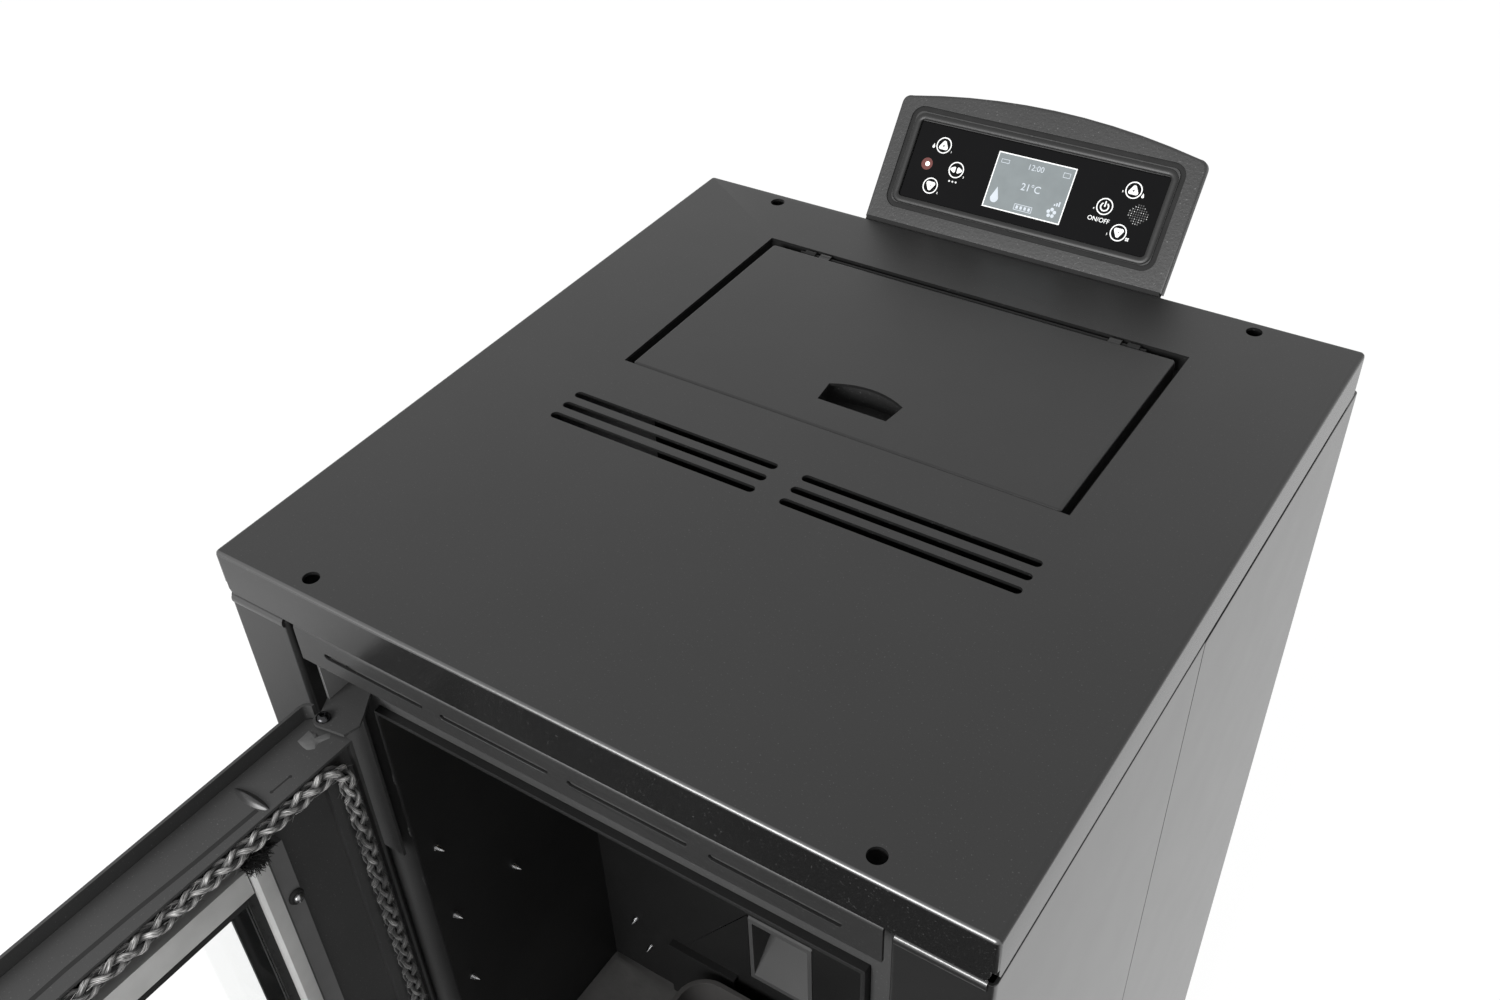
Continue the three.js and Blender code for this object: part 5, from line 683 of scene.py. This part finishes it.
def button_head(radius, height, shank):
    """A domed screw head with a socket's round mouth, on a shank below it."""
    profile = [(radius * 0.55, -shank), (radius * 0.55, 0.0), (radius * 0.94, 0.0), (radius, height * 0.12)]
    for c, s in arc(0, 0, 1, 15, 75, 4):
        profile.append((radius * (0.98 * c + 0.02), height * (0.12 + 0.88 * s)))
    profile.extend([(radius * 0.42, height), (radius * 0.36, height * 0.92), (radius * 0.34, height * 0.45)])
    return lathe(profile, 20)


def pan_screw(radius, height):
    """A pan head and the cross in it, as two forms."""
    dome = [(1.0, 0.0), (1.0, 0.35), (0.86, 0.75), (0.55, 0.96), (0.2, 1.0)]
    bar = block(-0.6 * radius, 0.6 * radius, -0.11 * radius, 0.11 * radius, 0.7 * height, 1.02 * height)
    cross = merge(bar, moved(bar, Matrix.Rotation(math.pi / 2, 4, "Z")))
    return lathe([(radius * r, height * z) for r, z in dome], 16), cross


def add_pivot_screw(name, node, z, way):
    head = moved(button_head(4.5, 3.4, 18.01), aimed(PIVOT_X, PIVOT_Y, z, way))
    piece = smooth(place(name, head, STOVE, BLACK_SCREW, "cabinet"))
    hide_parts(node)


def add_pivot_socket():
    """Painted shade: a black disc in the mouth of the upper pivot screw's head."""
    socket = moved(lathe([(1.5, 0), (1.5, 0.4)], 6), aimed(PIVOT_X, PIVOT_Y, PIVOT_TOP + 1.2, UP))
    smooth(place("pivot_socket", socket, STOVE, BLACK_AND_SHADE, "cabinet"), 0.1)


def add_firebox_screws():
    """The ends of self-tapping screws in the firebox."""
    tip = lathe([(2.6, 0.0), (2.6, 0.5), (2.0, 0.8), (2.15, 1.3), (1.9, 1.6), (2.1, 2.2), (1.8, 2.6),
                 (2.0, 3.2), (1.6, 3.7), (1.7, 4.2), (0.9, 5.6), (0.25, 7.0)], 12)
    ends = [moved(tip, aimed(FIREBOX_LEFT, y, z, (1, 0.05, 0.03))) for y, z in SIDE_SCREWS]
    ends += [moved(tip, aimed(x, FIREBOX_BACK, z, (0.05, -1, 0.03))) for x, z in BACK_WALL_SCREWS]
    ends += [moved(tip, aimed(FIREBOX_RIGHT, y, z, (-1, 0.05, 0.02))) for y, z in SIDE_SCREWS]
    smooth(place("firebox_screw_ends", merge(*ends), STOVE, BRIGHT_SCREW, "cabinet"))


def add_retainer_screws():
    head, cross = pan_screw(3.1, 2.6)
    ring = lathe([(5.2, 0.0), (5.4, 0.6), (4.6, 1.9), (3.6, 2.0)], 18)
    bolts, washers = [], []
    for u in RETAINER_U:
        for z in RETAINER_Z:
            bolts.append(moved(head, aimed(u, RETAINER_D, z, BACK)))
            bolts.append(moved(cross, aimed(u, RETAINER_D + 0.05, z, BACK)))
            washers.append(moved(ring, aimed(u, WASHER_D, z, BACK)))
    smooth(place("retainer_screws", merge(*bolts), DOOR, BRIGHT_SCREW, "fire_door"))
    smooth(place("retainer_washers", merge(*washers), DOOR, BLACK_AND_SHADE, "fire_door"))


def add_back_screws():
    screw = merge(*pan_screw(3.6, 2.2))
    spots = [(x, z) for x in (-228, 228) for z in (60, 250, 440, 630, 820)]
    spots += [(x, z) for x in (-210, -70, 70, 210) for z in (12, 846)]
    screws = [moved(screw, aimed(x, CASING_BACK, z, BACK)) for x, z in spots]
    smooth(place("back_screws", merge(*screws), STOVE, BLACK_SCREW, "cabinet"))


# ---- fire door's details

FRAME_TOP = 788.0  # upper edge of the door's frame
WINDOW_U, WINDOW_Z = (92.3, 257.7), (361.0, 742.0)  # the glass inside its tape
TAPE_D = 18.5  # depth where the tape begins
TUFT_AT = (80.0, 21.0, 764.5)
LANCE_X, LANCE_Y = (-178.6, -150.2), -320.6
LANCE_W, LANCE_RISE = 8.6, 3.0
DOOR_W = 350.0  # span that one side of the window mirrors to the other


def blob(points, z, height, rng, rings=4):
    """A low irregular patch: rings that climb towards the middle of an outline."""
    centre = Vector((sum(p[0] for p in points) / len(points), sum(p[1] for p in points) / len(points)))
    fine = []
    for k, p in enumerate(points):
        q = points[(k + 1) % len(points)]
        for t in (0.0, 0.5):
            shift = Vector((rng.uniform(-0.4, 0.4), rng.uniform(-0.4, 0.4)))
            fine.append(Vector(p).lerp(Vector(q), t) + shift)
    verts = []
    for r in range(rings + 1):
        t = 1 - r / (rings + 0.6)
        rise = height * math.sqrt(r / rings)
        for p in fine:
            q = centre + (p - centre) * t
            verts.append((q.x, q.y, z + rise * rng.uniform(0.75, 1.1) - (0.2 if r == 0 else 0.0)))
    count = len(fine)
    return verts, skin(rings + 1, count) + [tuple(range(rings * count, (rings + 1) * count))]


def lance(rows=18, columns=9):
    """A pressed tongue: a sheet that bulges along a line and drops at its cut edge."""
    verts = []
    for i in range(rows + 1):
        envelope = math.sin(math.pi * i / rows) ** 0.6
        for j in range(columns):
            v = j / (columns - 1)
            rise = LANCE_RISE * envelope * math.sin(math.pi * min(v * 1.25, 1.0)) if v < 0.8 else -0.1
            y = LANCE_Y + (v - 0.5) * LANCE_W * envelope
            x = LANCE_X[0] + (LANCE_X[1] - LANCE_X[0]) * i / rows
            verts.append((x, y, FRAME_TOP - 0.12 + rise))
    return verts, turned_over(skin(rows + 1, columns, open_rings=True))


def add_frame_top(rng):
    """The weld at the hinge, the pressed lance, and the shadows of a fold and a slit."""
    outline = [(-174.4, -277.9), (-169.5, -279.1), (-164.2, -280.1), (-160.1, -276.8), (-162.4, -272.4),
               (-158.7, -265.0), (-161.7, -261.6), (-166.1, -268.8), (-169.0, -267.0), (-175.0, -268.1)]
    weld = blob(outline, FRAME_TOP, 0.9, rng)
    smooth(place("hinge_weld", weld, STOVE, WELD, "fire_door"))
    smooth(place("frame_lance", lance(), STOVE, LANCE, "fire_door"))
    low = FRAME_TOP - 0.1
    seam = [(-155.6, -324.5), (-157.6, -366), (-160.6, -407), (-162.4, -447), (-162.6, -520), (-164.0, -607)]
    line = [(x + 1.0, y) for x, y in seam] + [(x - 1.9, y) for x, y in reversed(seam)]
    slit = [(-159.2, -311.0), (-158.1, -311.0), (-157.5, -298.6), (-158.6, -298.6)]
    shadows = [slab(line, low, FRAME_TOP + 0.05), slab(slit, low, FRAME_TOP + 0.06)]
    for x, y in ((-158.7, -311.4), (-157.9, -298.1)):
        shadows.append(moved(lathe([(1.1, 0.0), (1.1, 0.1)], 10), aimed(x, y, FRAME_TOP - 0.03, UP)))
    # painted shade: black strips and dots along the fold and the slit
    place("frame_seams", merge(*shadows), STOVE, BLACK_AND_SHADE, "fire_door")


def add_window_tape(rng):
    """The tape that seals the glass, frayed along the window."""
    (u0, u1), (z0, z1) = WINDOW_U, WINDOW_Z
    tapes = [block(a, b, TAPE_D, 20.3, z0, z1) for a, b in ((u0 - 7.7, u0), (u1, u1 + 7.7))]
    tapes += [block(u0, u1, TAPE_D, 20.1, a, b) for a, b in ((z0, z0 + 5.5), (z1 - 5.5, z1))]
    for _ in range(1500):
        side = rng.choice((-1, 1))
        u = u0 if side < 0 else u1
        z = rng.uniform(z0 + 1, z1)
        start = (u + side * rng.uniform(0.0, 3.5), rng.uniform(19.0, 20.2), z)
        way = (-side * rng.uniform(0.1, 1.0), rng.uniform(0.0, 0.6), rng.uniform(-1, 1))
        tapes.append(fibre(start, way, rng.uniform(1.5, 4.0), 0.16, rng.uniform(-1, 1), rng))
    smooth(place("glass_seal_tape", merge(*tapes), DOOR, TAPE, "fire_door"))


def add_rope_end(rng):
    """The tuft where the rope was cut."""
    u, d, z = TUFT_AT
    tuft = []
    for _ in range(420):
        start = (rng.gauss(u, 3.4), rng.uniform(20.5, 23.0), rng.gauss(z, 2.6))
        way = (rng.uniform(-1, 1), rng.uniform(0.1, 1.2), rng.uniform(-1.2, 0.8))
        tuft.append(fibre(start, way, rng.uniform(2.5, 7.0), 0.28, rng.uniform(-3, 3), rng))
    outline = [(86, -1.5), (83, 3.5), (77, 4.0), (73, 1.0), (74.5, -3.0), (81, -4.5)]
    verts, faces = blob(outline, 0.0, 2.6, rng)
    core = [(x, d + rise, z + y) for x, y, rise in verts], [tuple(reversed(f)) for f in faces]
    smooth(place("rope_end_tuft", merge(core, *tuft), DOOR, TAPE, "fire_door"))


def add_retainers():
    """The folded strips that hold the glass: a flat foot, a fold and a raised flange."""
    for name, mirror in (("left_glass_retainer", False), ("right_glass_retainer", True)):
        path = [(61.0, 20.0), (72.4, 20.0), (73.6, 20.5), (74.6, 21.6), (84.2, 23.2), (84.9, 22.6),
                (85.0, 20.2)]
        foot = [(61.3, 14.2), (64.3, 14.2), (64.3, 20.4), (61.3, 20.4)]
        if mirror:
            path, foot = ([(DOOR_W - u, d) for u, d in reversed(points)] for points in (path, foot))
        verts, faces = merge(profile_bar(path, 1.3, 341.2, 761.8, 6), slab(foot, 341.4, 761.6))
        piece = place(name + "_fold", (verts, faces), DOOR, RETAINER_LIT, "fire_door")
        # the fold and flange take the painted light, the foot the painted shade
        piece.data.materials.append(RETAINER_FOOT_SHADED)
        for face in piece.data.polygons:
            corners = faces[face.index]
            middle = sum(verts[i][0] for i in corners) / len(corners)
            u = DOOR_W - middle if mirror else middle
            face.material_index = 1 if u < 73.9 else 0
        smooth(piece, 0.15)
        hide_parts(name)


# ---- casing and firebox details

LEDGE_X, LEDGE_Y, LEDGE_Z = (-155.6, -68.0), (-178.0, -71.2), 335.02


def ridge(profile, x0, x1):
    """A bar along X from a profile in Y and Z that runs clockwise seen from +X."""
    verts = [(x, y, z) for x in (x0, x1) for y, z in profile]
    ends = [cap[::-1] for cap in caps(2, len(profile))]
    return verts, ends + turned_over(skin(2, len(profile)))


def add_column_bends():
    """The rounded top bends of the two front columns."""
    bend = [(-247.7 + 2.1 * c, 845.8 + 3.3 * s) for c, s in arc(0, 0, 1, 90, 250, 8)]
    bend = [(-247.6, 849.2), *bend, (-247.6, 842.4)]
    bends = merge(ridge(bend, -236.2, -195.0), ridge(bend, 191.6, 236.4))
    smooth(place("column_bends", bends, STOVE, EDGE_PAINT, "cabinet"))


def add_hinge_web_light():
    """A lighter sheet on the hinge bracket's web: painted light where the web lies in shade."""
    web = block(-177.97, -177.7, -246.4, -229.2, 792.3, 818.0)
    smooth(place("hinge_web_painted_light", web, STOVE, WEB_PAINTED_LIGHT, "cabinet"), 0.05)


def add_deflector():
    """A small plate on four studs before the smoke hole."""
    parts = [block(-92, -30, -77.2, -75.7, 338.0, 400.4), block(-92, -30, -77.2, -68.1, 400.5, 402.0)]
    stud = lathe([(2.2, 0.0), (2.2, 6.2)], 12)
    parts += [moved(stud, aimed(x, -75.0, z, BACK)) for x in (-88, -34) for z in (343, 398)]
    smooth(place("smoke_deflector", merge(*parts), STOVE, STOVE_PAINT, "cabinet"), 0.3)


def add_ledge_dust(rng):
    """Ash and dust on the ledge beside the burn pot, heaped in the corner."""
    (x0, x1), (y0, y1) = LEDGE_X, LEDGE_Y
    nx, ny = 56, 48
    bumps = [(rng.uniform(x0, x1), rng.uniform(y0, y1), rng.uniform(3, 11), rng.uniform(-0.3, 0.8))
             for _ in range(130)]
    verts = []
    for j in range(ny + 1):
        for i in range(nx + 1):
            x = x0 + (x1 - x0) * i / nx
            y = y0 + (y1 - y0) * j / ny
            edge = min(1.0, (x - x0) / 6, (y1 - y) / 6, (x1 - x) / 6, (y - y0) / 6)
            z = sum(h * math.exp(-((x - a) ** 2 + (y - b) ** 2) / (r * r)) for a, b, r, h in bumps)
            corner = 2.6 * math.exp(-((x - x0) / 26) ** 2 - ((y - y1) / 22) ** 2)
            verts.append((x, y, LEDGE_Z + max(0.0, 0.35 + 0.35 * z + corner) * max(edge, 0.0)))
    dust = verts, skin(ny + 1, nx + 1, open_rings=True)
    smooth(place("ledge_dust", dust, STOVE, DUST, "cabinet"))


def add_collar_welds(rng):
    """Weld beads where the collar meets the hinge side."""
    beads = []
    for z in (717, 666, 615):
        path, radii = [], []
        for k in range(9):
            t = k / 8
            path.append((-160.0 + rng.uniform(-0.3, 0.3), -231.5 + rng.uniform(-0.3, 0.3), z - 5 + 10 * t))
            radii.append(0.3 + 1.0 * math.sin(math.pi * t) ** 0.6 * (0.85 + 0.15 * math.cos(9 * t)))
        beads.append(tube(path, radii))
    smooth(place("collar_welds", merge(*beads), STOVE, WELD, "cabinet"))


# ---- control panel's marks

PRINT_DEPTH = 1.17  # just above the glass, at 1.2
HAIR = 0.01  # step between marks that lie on each other
KEY_RING = (5.6, 4.85)
ARROW_KEYS = ((-69, 59.6, 1), (-69.5, 31.0, -1), (69.2, 59.8, 1), (68.7, 31.2, -1))  # x, v, way
SET_KEY = (-54.5, 45.4)
POWER_KEY = (54.2, 45.4)
KEY_NUMBERS = (("1", -62.2, 56.2), ("2", -62.9, 27.2), ("3", -47.8, 41.6), ("4", 47.4, 42.8),
               ("5", 61.6, 28.6), ("6", 62.4, 57.6))
SOUNDER_X, SOUNDER_V, SOUNDER_PITCH = 77.3, 45.2, 1.55
LAMP_AT = (-76.6, 45.0)


def words(text, size, x, v, bold=0.0):
    """Plain characters as a mesh, in the panel's own frame."""
    data = bpy.data.curves.new("characters", "FONT")
    data.body = text
    data.size = size
    data.align_x = "CENTER"
    data.align_y = "CENTER"
    data.offset = bold
    data.resolution_u = 4
    obj = bpy.data.objects.new("characters", data)
    bpy.context.scene.collection.objects.link(obj)
    bpy.context.view_layer.update()
    mesh = bpy.data.meshes.new_from_object(obj.evaluated_get(bpy.context.evaluated_depsgraph_get()))
    part = [(x + p.co.x, 0.0, v + p.co.y) for p in mesh.vertices], [tuple(f.vertices) for f in mesh.polygons]
    bpy.data.objects.remove(obj)
    bpy.data.curves.remove(data)
    bpy.data.meshes.remove(mesh)
    return part


def flat_shape(points):
    return [(x, 0.0, v) for x, v in points], [tuple(range(len(points)))]


def bar(x0, x1, v0, v1):
    return flat_shape([(x0, v0), (x1, v0), (x1, v1), (x0, v1)])


def annulus(x, v, outer, inner, start=0.0, end=360.0, steps=40):
    pairs = zip(arc(x, v, inner, start, end, steps), arc(x, v, outer, start, end, steps))
    return [(a, 0.0, b) for pair in pairs for a, b in pair], skin(steps + 1, 2, open_rings=True)


def disc(x, v, r, steps=24):
    return flat_shape(arc(x, v, r, steps=steps)[:-1])


def triangle(x, v, size, turn):
    points = []
    for corner in (90, 210, 330):
        for da, share in ((-16, 0.93), (0, 1.0), (16, 0.93)):
            a = math.radians(corner + da + turn)
            points.append((x + size * share * math.cos(a), v + size * share * math.sin(a)))
    return flat_shape(points)


def outline_marks(x0, x1, v0, v1, w):
    bars = ((x0, x1, v0, v0 + w), (x0, x1, v1 - w, v1), (x0, x0 + w, v0 + w, v1 - w),
            (x1 - w, x1, v0 + w, v1 - w))
    return merge(*[bar(*sides) for sides in bars])


def rounded_loop(half_w, low, high, r, steps=8):
    """Points and outward directions round a rectangle with round corners."""
    corners = ((half_w - r, high - r, 0), (r - half_w, high - r, 90), (r - half_w, low + r, 180),
               (half_w - r, low + r, 270))
    loop = []
    for x, v, start in corners:
        for c, s in arc(0, 0, 1, start, start + 90, steps):
            loop.append((x + r * c, v + r * s, c, s))
    return loop


def loop_bead(loop, profile):
    """A closed bead: its profile gives the distance outward and the depth behind the bezel's face."""
    verts = [(x + a * dx, depth, v + a * dv) for x, v, dx, dv in loop for a, depth in profile]
    return verts, skin(len(loop), len(profile), closed=True)


def print_marks(name, parts, depth, material):
    """Marks printed a hair above the glass, in the panel's own frame."""
    verts, faces = merge(*parts)
    form = [(x, depth, v) for x, _, v in verts], faces
    place(name, form, PANEL, material, "cabinet")


def add_panel_gasket():
    """A soft strip between the bezel and the top plate."""
    strip = block(-108.5, 108.5, -0.4, 6.0, -5.5, 1.0)
    smooth(place("panel_gasket", strip, PANEL, TAPE, "cabinet"), 0.3)


def add_bezel_rim():
    """Painted shade as a black ring in the groove, and the round rim between it and the glass."""
    channel = [(-3.45, 0.9), (-0.05, 0.9), (-0.05, 1.95), (-3.45, 1.95)]
    groove = loop_bead(rounded_loop(99.0, 11.0, 82.6, 9.0), channel)
    place("bezel_groove", groove, PANEL, BLACK_AND_SHADE, "cabinet")
    arch = [(-2.4 * c, 0.05 - 1.1 * s) for c, s in arc(0, 0, 1, 0, 180, 8)]
    rim = loop_bead(rounded_loop(92.85, 17.1, 75.8, 5.0), [(-2.4, 0.3), *arch, (2.4, 0.3)])
    smooth(place("bezel_rim", rim, PANEL, RIM_PAINT, "cabinet"))


def add_key_marks():
    """Rings, arrows, numbers and plain signs of the touch keys."""
    white, gaps = [], []
    for x, v, way in ARROW_KEYS:
        white += [annulus(x, v, *KEY_RING), triangle(x, v - 0.4 * way, 3.7, 0 if way > 0 else 180)]
        gaps.append(words("+" if way > 0 else "-", 3.4, x, v - 0.5 * way, 0.1))
    x, v = SET_KEY
    dots = [disc(x - 2.5 + 2.5 * k, v - 8.2, 0.62, 14) for k in range(3)]
    white.append(annulus(x, v, *KEY_RING))
    white += [triangle(x - 2.2, v, 2.3, 90), triangle(x + 2.2, v, 2.3, -90)]
    x, v = POWER_KEY
    white += [annulus(x, v, *KEY_RING), annulus(x, v - 0.2, 3.1, 2.2, 125, 415)]
    white.append(bar(x - 0.45, x + 0.45, v - 0.2, v + 3.6))
    white += [words("ON/OFF", 4.2, x - 1.2, v - 9.2, 0.02), *dots]
    white += [words(number, 2.0, x, v, 0.02) for number, x, v in KEY_NUMBERS]
    # a drop, a flame and a fan wheel beside the keys
    for x, v, r in ((-76.2, 57.4, 0.95), (76.1, 57.0, 0.9)):
        white.append(disc(x, v, r, 16))
        white.append(flat_shape([(x - r * 0.85, v + r * 0.3), (x + r * 0.85, v + r * 0.3), (x, v + r * 2.6)]))
    white += [disc(x, v, 0.55, 10) for x, v in arc(75.7, 28.3, 0.85, 45, 315, 3)]
    print_marks("panel_print", white, PRINT_DEPTH, PRINT_AND_GLINT_GLOW)
    print_marks("panel_print_gaps", gaps, PRINT_DEPTH - 3 * HAIR, BLACK_GLASS)


def add_display():
    """The lit display with a plain time, temperature and signs."""
    print_marks("display_window", [bar(-27.9, 27.9, 27.0, 64.2)], PRINT_DEPTH + HAIR, DISPLAY)
    border = outline_marks(-28.4, 28.4, 26.5, 64.7, 0.75)
    print_marks("display_border", [border], PRINT_DEPTH - 2 * HAIR, PRINT_AND_GLINT_GLOW)
    shown = [words("12:00", 5.4, 0.5, 58.6), words("21°C", 6.8, 1.5, 45.0, 0.04)]
    shown.append(outline_marks(-6.0, 7.0, 29.2, 33.4, 0.4))
    shown.append(outline_marks(20.2, 25.2, 57.2, 60.6, 0.35))
    shown.append(outline_marks(-25.0, -19.0, 57.6, 60.2, 0.35))
    shown += [bar(-4.6 + 2.9 * k, -2.9 + 2.9 * k, 30.2, 32.4) for k in range(4)]
    shown += [bar(20.6 + 1.6 * k, 21.6 + 1.6 * k, 38.0, 39.2 + k) for k in range(3)]
    shown.append(flat_shape([*arc(-21.5, 33.4, 2.9, 150, 390, 14), (-21.5, 41.4)]))
    shown += [disc(x, v, 1.25, 12) for x, v in arc(20.6, 33.0, 2.3, 90, 378, 4)]
    print_marks("display_signs", shown, PRINT_DEPTH - 2 * HAIR, DISPLAY_LIGHT)


def add_lamp_and_sounder():
    """The indicator lamp, its glow on the glass, and painted shade and glints in the sounder's holes."""
    x, v = LAMP_AT
    print_marks("lamp_glow", [annulus(x - 0.4, v, 4.2, 1.4)], PRINT_DEPTH + HAIR, GLOW)
    print_marks("lamp", [disc(x, v, 1.6)], PRINT_DEPTH - 2 * HAIR, LAMP)
    rng = random.Random(8)
    holes, glints = [], []
    for i in range(-4, 5):
        for j in range(-4, 5):
            if i * i + j * j > 17:
                continue
            x, v = SOUNDER_X + SOUNDER_PITCH * i, SOUNDER_V + SOUNDER_PITCH * j
            holes.append(disc(x, v, 0.5, 10))
            # painted glints on some of the holes
            if rng.random() < 0.3:
                glints.append(disc(x + 0.1, v + 0.1, 0.22, 8))
    print_marks("sounder_holes", holes, PRINT_DEPTH, SOUNDER_HOLE_SHADE)
    print_marks("sounder_glints", glints, PRINT_DEPTH - 2 * HAIR, PRINT_AND_GLINT_GLOW)


# ---- lights, world and floor

SKY_LIGHT, SKY_SEEN = 0.5, 1.0
LAMP_FROM, LAMP_TOWARDS = (-0.35, -2.55, 1.88), (0.05, -0.25, 0.88)
LAMP_SIZE = (1.6, 0.9)
LAMP_POWER = 85.0
FLOOR_SIZE, FLOOR_Z = 9.0, -0.0221


def seen_ray(tree):
    """1 for camera, glossy and transmission rays, else 0."""
    path = tree.nodes.new("ShaderNodeLightPath")
    total = path.outputs["Is Camera Ray"]
    for name in ("Is Glossy Ray", "Is Transmission Ray"):
        total = calculate(tree, "MAXIMUM", total, path.outputs[name])
    return total


def mix_shaders(tree, share, first, second, out):
    """Two shaders mixed by a share, on the output's surface."""
    mix = tree.nodes.new("ShaderNodeMixShader")
    for socket, source in zip(mix.inputs, (share, first, second)):
        tree.links.new(source, socket)
    tree.links.new(mix.outputs["Shader"], out.inputs["Surface"])


def light_world():
    """An even sky: half strength as light, full white where it is seen."""
    world = bpy.data.worlds.new("studio")
    bpy.context.scene.world = world
    world.use_nodes = True
    tree = world.node_tree
    tree.nodes.clear()
    skies = []
    for strength in (SKY_LIGHT, SKY_SEEN):
        sky = tree.nodes.new("ShaderNodeBackground")
        fill(tree, sky, Color=(1.0, 1.0, 1.0, 1.0), Strength=strength)
        skies.append(sky.outputs["Background"])
    mix_shaders(tree, seen_ray(tree), *skies, tree.nodes.new("ShaderNodeOutputWorld"))


def add_lamp():
    """One broad soft box in front of the stove."""
    data = bpy.data.lights.new("front_box", "AREA")
    data.shape = "RECTANGLE"
    data.size, data.size_y = LAMP_SIZE
    data.energy = LAMP_POWER
    lamp = bpy.data.objects.new("front_box", data)
    turn = (Vector(LAMP_TOWARDS) - Vector(LAMP_FROM)).to_track_quat("-Z", "Y")
    lamp.matrix_world = Matrix.Translation(LAMP_FROM) @ turn.to_matrix().to_4x4()
    bpy.context.scene.collection.objects.link(lamp)


def foreground(tree):
    """1 where a glossy ray meets the ground just before the stove, else 0: a painted dark reflection."""
    x, y, _ = places(tree)
    shade = tree.nodes.new("ShaderNodeLightPath").outputs["Is Glossy Ray"]
    for value, start, end in ((x, -1.02, -0.84), (x, 1.9, 1.5), (y, -0.30, -0.38), (y, -3.2, -2.4)):
        shade = calculate(tree, "MULTIPLY", shade, beyond(tree, value, start, end))
    return shade


def add_floor():
    """A pale floor that shows white and keeps the stove's shadow, with a painted dark reflection before it.
    """
    material, tree, shader = new_material("pale_floor")
    fill(tree, shader, Base_Color=(0.86, 0.86, 0.86, 1.0), Roughness=0.9, Specular_IOR_Level=0.1)
    white = tree.nodes.new("ShaderNodeEmission")
    # painted reflection: to glossy rays the floor just before the stove glows at only 0.03
    dark = foreground(tree)
    fill(tree, white, Strength=beyond(tree, dark, 0.0, 1.0, 1.1, 0.03))
    share = calculate(tree, "MULTIPLY", seen_ray(tree), beyond(tree, dark, 0.0, 1.0, 0.86, 1.0))
    out = next(n for n in tree.nodes if n.type == "OUTPUT_MATERIAL")
    mix_shaders(tree, share, shader.outputs["BSDF"], white.outputs["Emission"], out)
    corners = ((-1, -1), (1, -1), (1, 1), (-1, 1))
    mesh = bpy.data.meshes.new("floor")
    mesh.from_pydata([(x * FLOOR_SIZE, y * FLOOR_SIZE, FLOOR_Z) for x, y in corners], [], [(0, 1, 2, 3)])
    mesh.materials.append(material)
    floor = bpy.data.objects.new("floor", mesh)
    bpy.context.scene.collection.objects.link(floor)


# ---- the scene

bpy.context.scene.view_settings.view_transform = "Standard"
add_camera()
dress_nodes()
add_rope()
add_pivot_screw("pivot_head", "top_pivot_screw", PIVOT_TOP, UP)
add_pivot_socket()
add_pivot_screw("lower_pivot_head", "bottom_pivot_screw", PIVOT_LOW, DOWN)
add_firebox_screws()
add_retainer_screws()
add_back_screws()
add_retainers()
door_rng = random.Random(11)
add_frame_top(door_rng)
add_window_tape(door_rng)
add_rope_end(door_rng)
add_column_bends()
add_hinge_web_light()
add_deflector()
firebox_rng = random.Random(23)
add_ledge_dust(firebox_rng)
add_collar_welds(firebox_rng)
add_panel_gasket()
add_bezel_rim()
add_key_marks()
add_display()
add_lamp_and_sounder()
light_world()
add_lamp()
add_floor()
